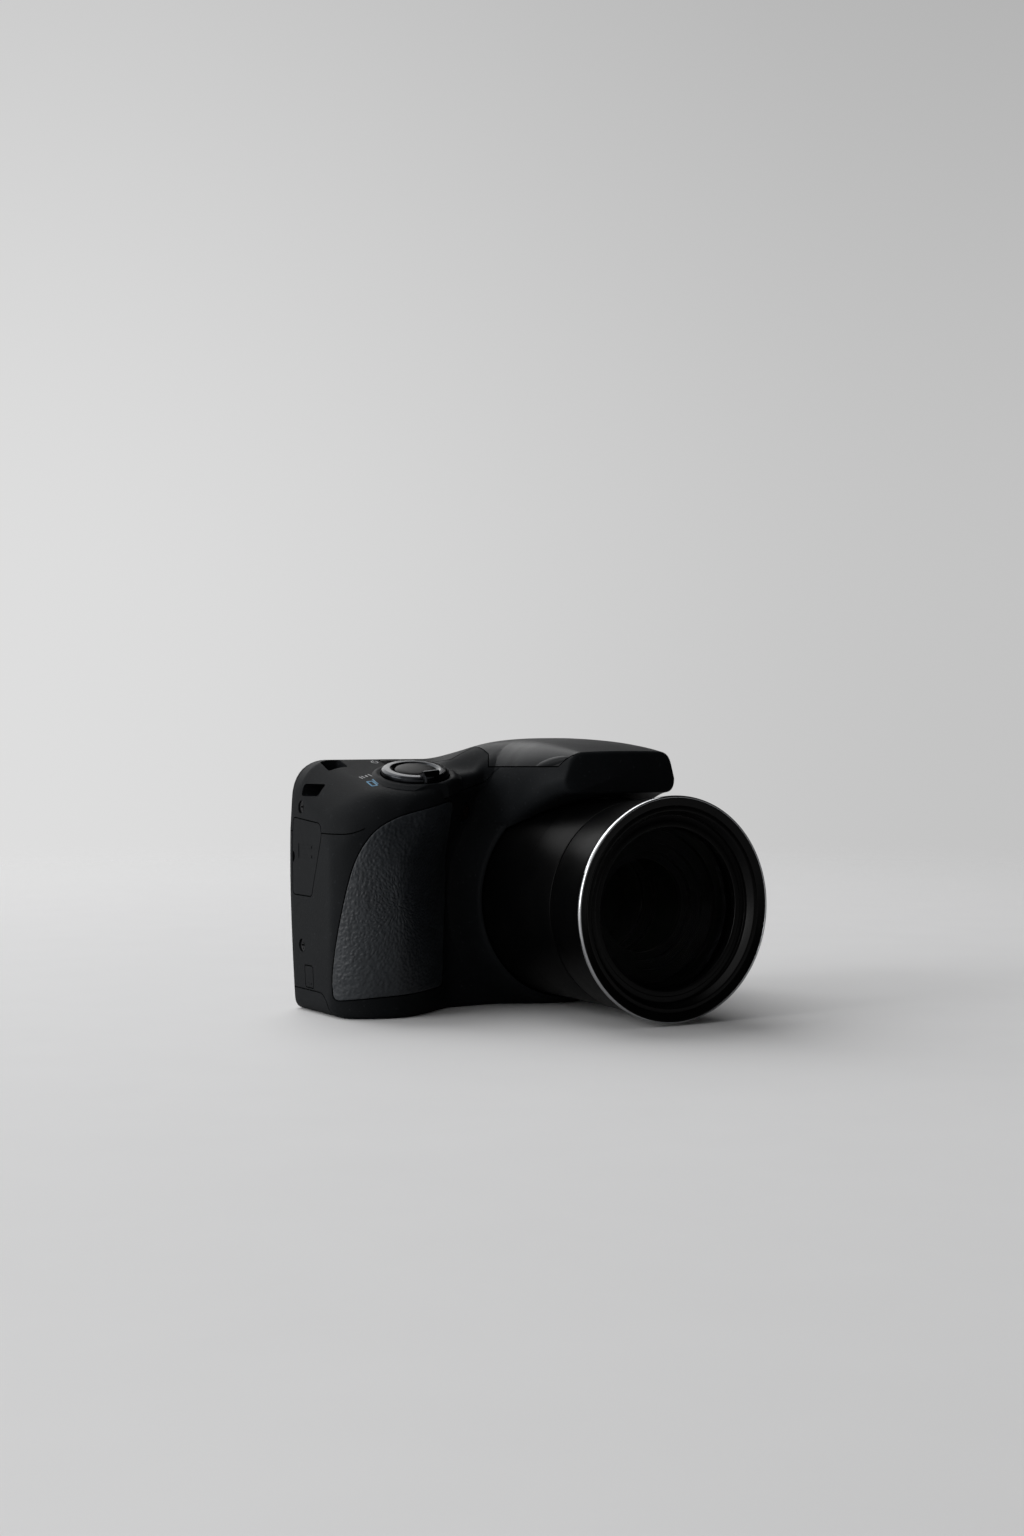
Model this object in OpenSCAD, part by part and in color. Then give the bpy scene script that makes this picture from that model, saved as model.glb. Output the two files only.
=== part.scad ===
// A compact superzoom bridge camera, lens retracted, standing on its base.
// Frame: +Z up, the lens points to -Y, the grip is at -X, and x = 0 is the lens axis.
// The origin is the mouth of the tripod socket, on the base under the lens axis.

/* [Overall size] */
// Distance from the lens axis to the grip side
grip_side = 66.5; // [63:0.1:70]
// Distance from the lens axis to the far side
far_side = 37.9; // [36.5:0.1:42]
// Height of the top of the hump above the lens barrel
hump_over = 15.1; // [14:0.1:16.6]
// Depth from the front ring to the face of the display window
depth = 80.1; // [76:0.1:88]
// Depth of the body from its front face to its rear face
body_depth = 22.3; // [21.5:0.1:24]
// Distance from the tripod socket to the face of the display window
socket_to_rear = 8.1; // [8:0.1:8.4]
// Wall of the moulded covers
wall = 1.6; // [1.4:0.1:1.8]
// Gap at the seams between the covers
seam = 0.3; // [0.2:0.05:0.4]

/* [Lens] */
// Radius of the fixed sleeve
sleeve_r = 25.9; // [24.5:0.05:27]
// How far the front ring stands out over the sleeve
ring_lip = 1.6; // [1.2:0.1:2]
// Gap between the front ring and the table
ring_clear = 0.6; // [0.3:0.1:1.2]
// Length of the moving front collar that shows in front of the sleeve
collar_len = 15.9; // [14:0.1:18]
// How far the body's lens collar reaches ahead of the front face
collar_reach = 8.8; // [7:0.1:10]
// Wall of the telescoping tubes
tube_wall = 0.8; // [0.7:0.05:0.9]
// Radial gap between neighbouring tubes
tube_gap = 0.3; // [0.25:0.05:0.35]
// Width of the flat rim of the front bezel
bezel_w = 2.3; // [2:0.1:3]
// Width of the ledge behind the lens cap's seat
seat_w = 2.9; // [2:0.1:3.5]

/* [Grip and deck] */
// Reach of the grip ahead of the front face at mid height
grip_reach = 14; // [12:0.5:15]
// How far the deck's rear edge lies under the top of the hump
deck_drop = 5.5; // [5:0.1:6.5]
// How far the far shoulder lies under the top of the hump
shoulder_drop = 9.1; // [8.6:0.1:10]
// Fall of the deck over its length
deck_fall = 7.5; // [6:0.1:8]
// Height that the grip skin stands out
skin_proud = 0.35; // [0.2:0.05:0.5]

/* [Flash] */
// Width of the front of the hump
nose_w = 29.4; // [28:0.1:31]
// Opening angle that the flash lid is drawn at
flash_angle = 0; // [0:1:40]

/* [Controls] */
// Diameter of the zoom lever ring
lever_d = 16.4; // [15:0.1:17]
// Diameter of the shutter button
shutter_d = 10.6; // [9.5:0.1:11]
// Diameter of the small rear buttons
key_d = 6; // [5:0.1:6.6]
// Diameter of the four-way pad
pad_d = 21; // [19:0.1:22]

/* [Interfaces] */
// Radius of the tripod socket's thread
socket_r = 3.175; // [3.1:0.025:3.25]
// Depth of the tripod socket
socket_depth = 5.5; // [5:0.1:6]

/* [Hidden] */
$fn = 64;

// Places along the depth
rear_y = socket_to_rear;
front_y = rear_y - depth;
face_y = rear_y - 0.8;
sleeve_front_y = front_y + collar_len;
recess_y = face_y - body_depth;
collar_y = recess_y - collar_reach;
split_y = 4;
nose_len = 35;
plate_y = recess_y - nose_len;
ring_r = sleeve_r + ring_lip;
lens_z = ring_r + ring_clear;
lens_top = lens_z + sleeve_r;
hump_h = lens_top + hump_over;
deck_h = hump_h - deck_drop;
shoulder_h = hump_h - shoulder_drop;
grip_x = -grip_side;

// Grip and deck
grip_root_x = -31;
grip_span = grip_side - 39.5;
grip_low = grip_reach - 3;
deck_len = 26;
deck_twist = 0.155;
ridge_y = -15;

// Rounded edges of the body: front, rear and top, on the grip side and on the far side
corner_front = [9, 7.5];
corner_rear = [4, 4];
corner_base = [3, 3];
corner_top = [9, 9];
corner_top_more = [4, 4];
corner_far = [10, 9];
lean_low = 0.022;
lean_high = 0.013;

// Flash hinge
flash_axis_y = -9.5;
flash_axis_z = hump_h - 4.6;
flash_roll_r = 4.4;
flash_pin_r = 0.8;
flash_x = 12.5;
flash_front_y = plate_y + wall + 1.5;
flash_low_z = lens_top + 3.9;
flash_top_z = hump_h - 5.6;
arm_x = 7.4;
arm_w = 2.4;
post_x = 11.2;
post_w = 2.4;
lid_half = 19.6;
lid_front = 17.4;
pin_fit = 0.05;

// Deck frame for the zoom lever and the shutter button
lever_x = grip_x + 25.3;
lever_y = recess_y - 1;
lever_tilt = [13.9, -5.4, 0];
power_x = grip_x + 26;
power_y = -1.8;
power_r = 3;
stem_r = 2;
shutter_r = shutter_d / 2;
lever_r = lever_d / 2;

// Battery door and its hinge
door_x = grip_x + 26.5;
door_axis_x = door_x - 1;
door_axis_z = 0.9;
door_pin_r = 0.45;
door_knuckle_r = 0.9;
door_lip_z = 5.6;
door_pin_y = [-17.6, 3.4];
door_knuckle_y = -15;
coupler_y = -7.2;
coupler_z = 6.5;
coupler_h = 5.3;

// Lens radii, from the outside in
sleeve_in = sleeve_r - tube_wall;
cam_out = sleeve_in - tube_gap;
cam_in = cam_out - tube_wall;
mid_out = cam_in - tube_gap;
mid_in = mid_out - tube_wall;
tube_out = mid_in - tube_gap;
tube_in = tube_out - tube_wall;
base_y = recess_y + 3;
base_plate = 2.5;
motor_z = lens_z - 3;
motor_r = 2.1;
carrier_r = 12.4;
middle_y = sleeve_front_y + 0.6;
middle_end = base_y - 4.5;

bezel_y = front_y + 0.7;
bezel_r = sleeve_r - 0.9;
cap_seat_r = bezel_r - bezel_w;
glass_r = cap_seat_r - seat_w;
seat_y = front_y + 3;
glass_y = seat_y + 1.5;
glass_sink = 0.4;
baffle_y = glass_y + 6;
ring_end = front_y + 2.6;
fixed_gap = 0.02;

// Seams, strap slots, lamp, speaker and screws
seam_x0 = grip_x - 2;
seam_x1 = -17;
hump_seam = [35, 27.5];
strap_y = -13.5;
strap_len = 11;
slot_h = 2.9;
loop_y = -8.6;
loop_rear = 0.7;
loop_len = 7.3;
loop_h = 2.5;
loop_z = deck_h - 8.4;
loop_x = grip_x + 7.5;
loop_w = 4.2;
loop_open = 5.6;
lamp_x = -27;
lamp_z = lens_z + 22.4;
lamp_r = 2.45;
speaker_y = -1.6;
speaker_z = 34;
screw_r = 1.6;
screw_y = -1.5;
grip_screws = [16.8, 51.8];
far_screws = [12, 40];
bush_r = 5;
run_gap = 0.3;

// Chassis, boards and case
chassis_y = -4.6;
chassis_t = 0.8;
board_y = 0.2;
board_t = 1;
panel_y = 3.2;
window_t = 1.5;
key_y = 3.4;
key_t = 0.8;
inner_y = face_y - wall;
lcd_x0 = -29.5;
lcd_x1 = far_side - 4.4;
lcd_z0 = 6.5;
lcd_z1 = deck_h - 8.1;
case_y0 = -22;
case_y1 = 3;
case_z0 = 2.4;
key_gap = 0.3;
case_wall = 0.8;
bay_gap = 0.15;
bay_z = 4;
card_size = [2.1, 24, 32];
battery_size = [6.6, 22.4, 35.5];
case_x0 = grip_x + 5;
case_x1 = case_x0 + card_size[0] + battery_size[0] + 3 * case_wall + 4 * bay_gap - 0.2;
case_z1 = bay_z + battery_size[2] + 1.5;
card_x = case_x0 + case_wall + bay_gap;
card_y = (case_y0 + case_y1 - card_size[1]) / 2;
battery_x = card_x + card_size[0] + case_wall + bay_gap;
battery_y = (case_y0 + case_y1 - battery_size[1]) / 2;
latch_x = case_x1 + 0.6;
latch_y = [-2.2, 0.2];
latch_z = 7;
latch_pin_r = 0.5;
keys = [
    ["movie", grip_x + 11, deck_h - 10.1], ["play", grip_x + 10.5, 43],
    ["frame", grip_x + 29.5, 43], ["menu", grip_x + 10.5, 10.5]
];
pad_x = grip_x + 19.5;
pad_z = 26;
set_r = 4.9;

// Helpers
function unit(t) = min(1, max(0, t));
function smooth(t) = let (c = unit(t)) c * c * (3 - 2 * c);
function smooth_max(a, b, k) = max(a, b) + pow(max(k - abs(a - b), 0), 2) / (4 * k);
function oval(d, r) = d >= r[0] ? 0 : r[1] * (1 - sqrt(max(0, 1 - pow(1 - max(d, 0) / r[0], 2))));
function shrink(r, w) = [for (v = r) max(v - w, 0.8)];
function bend(a, b, c, t) = (1 - t) * (1 - t) * a + 2 * t * (1 - t) * b + t * t * c;
function curve(a, b, c, n) = [for (i = [0:n]) bend(a, b, c, i / n)];
function between(a, b, n) = [for (i = [1:n]) a + (b - a) * i / (n + 1)];

// Surface of the body: the front face, the deck, the hump and the far shoulder
function grip_at(z) = grip_low + (grip_reach - grip_low) * sin(180 * unit((z - 3) / 62));
function grip_root(z) = grip_root_x + 8 * smooth((z - 38) / 17);
function grip_share(x, z) = pow(sin(90 * unit((grip_root(z) - x) / grip_span)), 1.25);
function face_at(x, z) = recess_y - grip_at(z) * grip_share(x, z);
function deck_at(x, y) = deck_h - max(0, -y / deck_len) * (deck_fall - deck_twist * (x + 48));
function ridge_at(y) = hump_h - (y < ridge_y ? 0.0023 : 0.008) * pow(y - ridge_y, 2);
function crown_at(x, y) = ridge_at(y) - 0.00165 * pow(abs(x), 2.45);
function hump_at(x, y) = ridge_at(y) - 0.000129 * pow(abs(x) * (1 + 0.45 * smooth((-8 - y) / 14)), 3.2);
function far_at(x, y) = shoulder_h - 3 * pow(unit((x - 14) / 24), 2) - 3 * unit(-y / deck_len);
function top_at(x, y) = smooth_max(x < 0 ? deck_at(x, y) : far_at(x, y), hump_at(x, y), 3.5);
function lean(z) = 1 - lean_low * pow(unit((35 - z) / 35), 1.5) - lean_high * unit((z - 45) / 15);

// One side-view section of the body at x, drawn in by w
function section(x, w) =
    let (
        near = x - grip_x - w,
        far = far_side - w - x,
        round_top = function(y) oval(near, shrink(corner_top + corner_top_more * unit(-y / deck_len), w)),
        push_front = oval(near, shrink(corner_front, w)) + oval(far, shrink(corner_far, w)),
        push_rear = oval(near, shrink(corner_rear, w)) + oval(far, shrink(corner_rear, w)),
        push_base = oval(near, shrink(corner_base, w)) + oval(far, shrink(corner_base, w)),
        front = function(z) face_at(x, z) + w + push_front,
        top = function(y) top_at(x, y) - w - round_top(y) - oval(far, shrink(corner_far, w)),
        rear = face_y - w - push_rear,
        base = w + push_base,
        lip_y = front(top(front(deck_h - 6.6))),
        lip_z = top(lip_y),
        r_lip = 2.2,
        r_back = 3.5,
        r_base = 1.8,
        back_z = top(rear),
        fine = w > 1 ? 0.5 : 1
    )
    concat(
        curve([front(base + r_base), base + r_base], [front(base), base], [front(base) + r_base, base], 3),
        between([front(base) + r_base, base], [rear - r_base, base], 2),
        curve([rear - r_base, base], [rear, base], [rear, base + r_base], 3),
        between([rear, base + r_base], [rear, back_z - r_back], 3),
        curve([rear, back_z - r_back], [rear, back_z], [rear - r_back, top(rear - r_back)], 4 * fine),
        [for (y = between(rear - r_back, lip_y + r_lip, 8 * fine)) [y, top(y)]],
        curve([lip_y + r_lip, top(lip_y + r_lip)], [lip_y, lip_z], [front(lip_z - r_lip), lip_z - r_lip], 4 * fine),
        [for (z = between(lip_z - r_lip, base + r_base, 8 * fine)) [front(z), z]]
    );

// Stations across the body, closer together at the rounded ends
function stations(w) =
    let (a = grip_x + w, b = far_side - w, step = w > 1 ? 25 : 15)
    concat(
        [for (t = [0:step:75]) a + 12 * (1 - cos(t))],
        [for (x = between(a + 12 * (1 - cos(75)), b - 9 * (1 - cos(75)), w > 1 ? 13 : 27)) x],
        [for (t = [75:-step:0]) b - 9 * (1 - cos(t))]
    );

// One front-view section of the nose at y, drawn in by w
function nose_half(y) =
    nose_w / 2 + 4.2 * pow(unit((y - plate_y) / 22), 0.8) + 13 * pow(unit((y - plate_y - 22) / 16), 2.2);
function nose_section(y, w) =
    let (
        half = nose_half(y) - w,
        sunk = w + 0.6 * max(0, y - recess_y - 1.5),
        back = unit((y - plate_y) / nose_len),
        r_top = 3.6 + 8 * pow(back, 2),
        low = lens_top + 1.5 - 16 * pow(back, 1.6) + w,
        side = crown_at(half, y) - sunk,
        r_low = min(5.5 - 2 * back, side - r_top - low),
        right = concat(
            curve([half - r_low, low], [half, low], [half, low + r_low], 4),
            curve([half, side - r_top], [half, side], [half - r_top, crown_at(half - r_top, y) - sunk], 5),
            [for (x = between(half - r_top, 0, 3)) [x, crown_at(x, y) - sunk]]
        ),
        count = len(right)
    )
    concat(right, [[0, ridge_at(y) - sunk]], [for (i = [1:count]) [-right[count - i][0], right[count - i][1]]]);

// Closed skin through a list of rings that all have the same number of points
module skin(rings) {
    n = len(rings[0]);
    m = len(rings);
    polyhedron(
        [for (ring = rings) for (p = ring) p],
        concat(
            [[for (i = [0:n - 1]) i]],
            [for (j = [0:m - 2]) for (i = [0:n - 1]) let (k = (i + 1) % n) [j * n + i, (j + 1) * n + i, j * n + k]],
            [for (j = [0:m - 2]) for (i = [0:n - 1]) let (k = (i + 1) % n)
                [j * n + k, (j + 1) * n + i, (j + 1) * n + k]],
            [[for (i = [0:n - 1]) (m - 1) * n + n - 1 - i]]
        )
    );
}

module body_form(w) {
    skin([for (x = stations(w)) [for (p = section(x, w)) [x * lean(p[1]), p[0], p[1]]]]);
}

module nose_form(w) {
    steps = concat([0, 0.25, 0.7], [for (s = [3:w > 1 ? 8 : 4:35]) s], [38.5, 42]);
    edge = [0.7, 0.2];
    skin([
        for (i = [0:len(steps) - 1])
            let (y = plate_y + w + steps[i] * (nose_len + 5 - w) / 42)
                [for (p = nose_section(y, w + (i < 2 ? edge[i] : 0))) [-p[0], y, p[1]]]
    ]);
}

module case_form(w) {
    body_form(w);
    nose_form(w);
}

module shell(inner) {
    difference() {
        case_form(0);
        case_form(inner);
    }
}

// A moulded cover is worked out as one mesh
module moulded() {
    minkowski() {
        union() {
            children();
        }
    }
}

// A shape turned about the lens axis: points are [radius, y]
module turned(points) {
    translate([0, 0, lens_z]) rotate([-90, 0, 0]) rotate_extrude() polygon(points);
}

module tube(y0, y1, outer, inner) {
    turned([[inner, y0], [outer, y0], [outer, y1], [inner, y1]]);
}

module box(a, b) {
    translate(a) cube(b - a);
}

// A prism along X over a side-view outline of [y, z] points
module across(x0, x1) {
    translate([x0, 0, 0]) rotate([90, 0, 90]) linear_extrude(x1 - x0) children();
}

// A prism along Y over a front-view outline of [x, z] points
module along(y0, y1) {
    translate([0, y1, 0]) rotate([90, 0, 0]) linear_extrude(y1 - y0) children();
}

module rod_x(x0, x1, y, z, r) {
    translate([x0, y, z]) rotate([0, 90, 0]) cylinder(h = x1 - x0, r = r);
}

module rod_y(y0, y1, x, z, r) {
    translate([x, y0, z]) rotate([-90, 0, 0]) cylinder(h = y1 - y0, r = r);
}

module rounded(size, r) {
    translate([r, r]) offset(r) square(size - [2 * r, 2 * r]);
}

// Seam between the front cover and the top cover, seen from the front
function seam_at(x) =
    let (t = x - grip_x - 2.7)
    deck_h - 18.1 + 2.6 * smooth((t + 0.7) / 12) + 0.115 * (t + sqrt(t * t + 2)) + 5 * smooth((x + 23) / 6);

module above_seam(gap) {
    along(plate_y + 24, split_y + 20)
        polygon(concat(
            [for (i = [0:26]) let (x = seam_x0 + i * (seam_x1 - seam_x0) / 26) [x, seam_at(x) + gap]],
            [[seam_x1, hump_h + 10], [seam_x0, hump_h + 10]]
        ));
}

// Everything behind the rear seam, which runs forward over the hump to the flash lid
module behind_seam(gap) {
    box([grip_x - 20, split_y - gap, -5], [far_side + 20, split_y + 30, hump_h + 20]);
    translate([0, 0, shoulder_h - 3.5]) linear_extrude(hump_h) offset(delta = gap) polygon([
        [-hump_seam[0], split_y + 3], [-hump_seam[0], split_y], [-hump_seam[1], flash_axis_y], [0, flash_axis_y],
        [hump_seam[1], flash_axis_y], [hump_seam[0], split_y], [hump_seam[0], split_y + 3]
    ]);
}

// Side view of the flash lid: its outline, and the rolled edge about its hinge
module lid_outline(gap) {
    offset(delta = gap)
        polygon([
            [plate_y + 0.8, hump_h + 10], [plate_y + 0.8, hump_h - 3.2], [plate_y + 5.2, hump_h - 6.7],
            [flash_axis_y, hump_h - 7.3], [flash_axis_y, hump_h + 10]
        ]);
    translate([flash_axis_y, flash_axis_z]) circle(flash_roll_r + 2 * gap, $fn = 40);
}

module lid_space(gap) {
    half = lid_half + gap;
    intersection() {
        across(-half, half) lid_outline(gap);
        linear_extrude(hump_h + 20) polygon([
            [-lid_front - gap, plate_y - 1], [-half, plate_y + 24], [-half, 0],
            [half, 0], [half, plate_y + 24], [lid_front + gap, plate_y - 1]
        ]);
    }
}

// Side view of the terminal cover and of the turned-up edge of the battery door
module terminal_outline(gap) {
    offset(delta = gap) offset(1.2) offset(delta = -1.2)
        polygon([[2.6, 49], [-12.9, 47.9], [-14, 45.2], [-8.2, 29.7], [2.6, 29.7]]);
}

module coupler_outline(gap) {
    offset(delta = gap) translate([coupler_y, coupler_z]) rounded([4.4, coupler_h], 0.6);
}

module door_outline(gap) {
    offset(delta = gap)
        polygon(concat(
            curve([-10.5, door_lip_z], [-14.8, door_lip_z], [-16.4, -2], 5), [[split_y - seam / 2, -2]],
            [[split_y - seam / 2, door_lip_z]]
        ));
}

module door_space(gap) {
    intersection() {
        across(grip_x - 3, door_x + 2 * gap) door_outline(gap);
        union() {
            box([grip_x - 3, -30, -3], [door_axis_x - 2 + gap, 20, 10]);
            box([grip_x - 3, door_knuckle_y - gap, -3], [door_axis_x, 20, 10]);
            rod_y(door_knuckle_y - gap, 20, door_axis_x, door_axis_z, door_knuckle_r + 2 * gap);
        }
    }
}

// The grip skin, seen along a line turned towards the grip side: [across, height]
skin_turn = 20;
skin_left = grip_x * cos(skin_turn);
module skin_outline(gap) {
    offset(delta = gap) offset(1.5) offset(delta = -1.5)
        polygon([
            [-26.3, 6.2], [-31.1, 6.1], [-37.5, 5.9], [-43.7, 5.6],
            [skin_left + 13, 5.1], [skin_left + 7.6, 4.5],
            [skin_left + 7.2, 10], [skin_left + 7.7, 16.3], [skin_left + 8.4, 22], [skin_left + 9.5, 28.4],
            [skin_left + 10.6, 33.7], [skin_left + 11.9, deck_h - 25.3],
            [skin_left + 13.5, deck_h - 21.8], [skin_left + 15, deck_h - 19.5],
            [-45.4, deck_h - 17], [-42.5, deck_h - 15.1], [-39.4, deck_h - 13.7],
            [-36.1, deck_h - 12.8], [-32.6, deck_h - 12], [-29, deck_h - 11.2], [-24.5, deck_h - 9.9]
        ]);
}

module skin_space(gap) {
    rotate([0, 0, -skin_turn]) along(-60, -20) skin_outline(gap);
}

// Strap slots at the two upper corners: one through the side, one through the top, a solid corner between
module strap_bars() {
    intersection() {
        case_form(0);
        union() {
            box([grip_x, loop_y - wall, loop_z - 1], [loop_x + loop_w + wall, loop_rear + wall, deck_h + 2.4]);
            box([far_side - 4.8, strap_y - 0.5, shoulder_h - 8.7], [far_side, strap_y + strap_len + 0.5, shoulder_h]);
        }
    }
}

module strap_slots() {
    across(grip_x - 3, loop_x + loop_w / 2) translate([loop_y, loop_z]) rounded([loop_len, loop_h], 0.9);
    translate([loop_x, loop_rear - loop_open, loop_z + 0.5]) linear_extrude(16) rounded([loop_w, loop_open], 1);
    across(far_side - 7, far_side + 3) translate([strap_y, shoulder_h - 11.1]) rounded([strap_len, slot_h], 1.2);
    translate([far_side - 10.6, strap_y + 2, shoulder_h - 10.5]) linear_extrude(14) rounded([6, 7], 1.4);
}

module deck_frame() {
    translate([lever_x, lever_y, deck_at(lever_x, lever_y)]) rotate(lever_tilt) children();
}

// Holes for the tripod bush and for the heads of the case screws
module bush_hole() {
    translate([0, 0, -1]) cylinder(h = 5, r = bush_r + pin_fit, $fn = 40);
}

module screw_holes() {
    for (z = grip_screws) rod_x(grip_x - 2, grip_x + 6.5, screw_y, z, screw_r + pin_fit, $fn = 24);
    for (z = far_screws) rod_x(far_side - 3, far_side + 2, screw_y, z, screw_r + pin_fit, $fn = 24);
}

// Casing
module front_cover() {
    color([0.05, 0.05, 0.055]) moulded() {
        difference() {
            union() {
                shell(wall);
                strap_bars();
                intersection() {
                    turned([
                        [sleeve_r - 1, collar_y], [sleeve_r + 0.9, collar_y], [sleeve_r + 1.3, collar_y + 0.5],
                        [sleeve_r + 2.4, collar_y + 4], [sleeve_r + 4.4, recess_y - 1], [sleeve_r + 6, recess_y + 1],
                        [sleeve_r - 1, recess_y + 1]
                    ]);
                    box([-40, collar_y - 1, 0], [40, recess_y + 2, 70]);
                }
            }
            tube(front_y - 5, recess_y + 4, sleeve_r + seam, 0);
            behind_seam(seam / 2);
            above_seam(0);
            strap_slots();
            lid_space(seam);
            door_space(seam);
            intersection() {
                skin_space(seam);
                difference() {
                    body_form(-3);
                    body_form(0.8);
                }
            }
            across(grip_x - 3, grip_x + 6.5) terminal_outline(seam);
            across(grip_x - 3, grip_x + 6.5) coupler_outline(seam);
            bush_hole();
            rod_y(recess_y - 3, recess_y + 4, lamp_x, lamp_z, lamp_r + pin_fit, $fn = 32);
            for (a = [0:60:359])
                rod_x(far_side - 3, far_side + 3, speaker_y + 2 * cos(a), speaker_z + 2 * sin(a), 0.5, $fn = 8);
            rod_y(door_pin_y[0] - 0.2, split_y + 1, door_axis_x, door_axis_z, door_pin_r + pin_fit, $fn = 24);
            screw_holes();
        }
    }
}

module top_cover() {
    color([0.05, 0.05, 0.055]) moulded() {
        difference() {
            union() {
                intersection() {
                    union() {
                        shell(wall);
                        strap_bars();
                        intersection() {
                            case_form(0);
                            deck_frame() translate([0, 0, -5]) cylinder(h = 10, r = lever_r + 1.6, $fn = 48);
                        }
                    }
                    above_seam(seam);
                }
                intersection() {
                    body_form(-0.9);
                    above_seam(seam);
                    deck_frame() cylinder(h = 0.7, r1 = lever_r + 2.6, r2 = lever_r + 1.2, $fn = 48);
                }
            }
            behind_seam(seam / 2);
            lid_space(seam);
            deck_frame() {
                translate([0, 0, -0.9]) cylinder(h = 8, r = lever_r + run_gap, $fn = 48);
                translate([0, 0, -3]) cylinder(h = 8, r = shutter_r + run_gap, $fn = 48);
                translate([0, 0, -6]) cylinder(h = 8, r = stem_r + run_gap, $fn = 24);
            }
            translate([power_x, power_y, 50]) cylinder(h = 20, r = power_r + run_gap, $fn = 32);
            strap_slots();
            across(grip_x - 3, grip_x + 6.5) terminal_outline(seam);
            screw_holes();
        }
    }
}

module rear_cover() {
    color([0.05, 0.05, 0.055]) moulded() {
        difference() {
            intersection() {
                shell(wall);
                behind_seam(-seam / 2);
            }
            lid_space(seam);
            for (x = [-5, 5]) translate([x, -1.5, 55]) cylinder(h = 20, r = 0.5, $fn = 8);
            along(split_y, rear_y + 2) translate([lcd_x0 - 0.1, lcd_z0 - 0.1])
                rounded([lcd_x1 - lcd_x0 + 0.2, lcd_z1 - lcd_z0 + 0.2], 1.6);
            for (k = keys) rod_y(split_y, rear_y + 2, k[1], k[2], key_d / 2 + key_gap, $fn = 32);
            rod_y(split_y, rear_y + 2, pad_x, pad_z, pad_d / 2 + key_gap, $fn = 48);
            bush_hole();
        }
        thumb_rest();
    }
}

// Low dots for the thumb on the rear face
module thumb_rest() {
    for (i = [0:3])
        for (j = [0:2])
            rod_y(face_y - 0.3, rear_y, grip_x + 17.5 + 3.4 * i, deck_h - 14.1 + 3 * j, 0.9, $fn = 10);
}

module grip_skin() {
    color([0.09, 0.09, 0.095]) moulded() {
        intersection() {
            difference() {
                body_form(-skin_proud);
                body_form(0.75);
            }
            skin_space(0);
        }
    }
}

module terminal_cover() {
    color([0.07, 0.07, 0.075]) moulded() {
        intersection() {
            shell(1.3);
            across(grip_x - 3, grip_x + 4.5) terminal_outline(0);
        }
    }
}

module coupler_flap() {
    color([0.07, 0.07, 0.075]) moulded() {
        intersection() {
            shell(1.3);
            across(grip_x - 3, grip_x + 5.5) coupler_outline(0);
        }
    }
}

// Battery door with its turned-up edge, its hinge leaf and its pin
module battery_door() {
    color([0.06, 0.06, 0.065]) moulded() {
        difference() {
            intersection() {
                union() {
                    shell(wall);
                    box([door_axis_x - 0.5, door_knuckle_y, 0], [door_axis_x + 0.9, 3, 1.8]);
                }
                door_space(0);
            }
            for (y = [-13, -2]) box([door_axis_x - 2, y - 0.2, -1], [door_axis_x + 2, y + 4.2, 3]);
            rod_y(-20, 10, door_axis_x, door_axis_z, door_pin_r + pin_fit, $fn = 24);
        }
    }
}

module door_hinge_leaf() {
    color([0.7, 0.7, 0.72]) {
        for (y = [-13, -2])
            difference() {
                union() {
                    rod_y(y, y + 4, door_axis_x, door_axis_z, door_knuckle_r);
                    box([door_axis_x - 9, y, wall], [door_axis_x, y + 4, wall + 0.6]);
                }
                rod_y(y - 1, y + 5, door_axis_x, door_axis_z, door_pin_r + pin_fit);
            }
    }
}

module door_hinge_pin() {
    color([0.75, 0.75, 0.76]) rod_y(door_pin_y[0], door_pin_y[1], door_axis_x, door_axis_z, door_pin_r);
}

// Battery bay
module battery_case() {
    color([0.12, 0.12, 0.13]) difference() {
        box([case_x0, case_y0, case_z0], [case_x1, case_y1, case_z1]);
        bay_space(card_x, card_y, card_size, bay_gap);
        bay_space(battery_x, battery_y, battery_size, bay_gap);
        box([case_x1 - 1.8, latch_y[0] - 0.8, case_z0 - 1], [case_x1 + 1, latch_y[1] + 0.8, latch_z + 1.6]);
    }
}

module bay_space(x, y, size, gap) {
    box([x - gap, y - gap, case_z0 - 1], [x + size[0] + gap, y + size[1] + gap, bay_z + size[2]]);
}

module battery() {
    color([0.2, 0.2, 0.22]) translate([battery_x, battery_y, bay_z]) cube(battery_size);
}

module memory_card() {
    color([0.1, 0.15, 0.3]) translate([card_x, card_y, bay_z]) cube(card_size);
}

module battery_latch() {
    color([0.75, 0.45, 0.1]) difference() {
        union() {
            rod_y(latch_y[0], latch_y[1], latch_x, latch_z, 1.1);
            box([latch_x - 0.8, latch_y[0], 3], [latch_x + 0.6, latch_y[1], latch_z]);
            box([latch_x - 2, latch_y[0], 2.8], [latch_x + 0.6, latch_y[1], 3.6]);
        }
        rod_y(latch_y[0] - 1, latch_y[1] + 1, latch_x, latch_z, latch_pin_r + pin_fit);
    }
}

module latch_pin() {
    color([0.7, 0.7, 0.72]) {
        rod_y(latch_y[0] - 1, latch_y[1] + 1, latch_x, latch_z, latch_pin_r);
        for (y = [latch_y[0] - 1.4, latch_y[1] + 0.6])
            box([case_x1, y, latch_z - 1], [latch_x + 0.8, y + 0.8, latch_z + 1]);
    }
}

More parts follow.
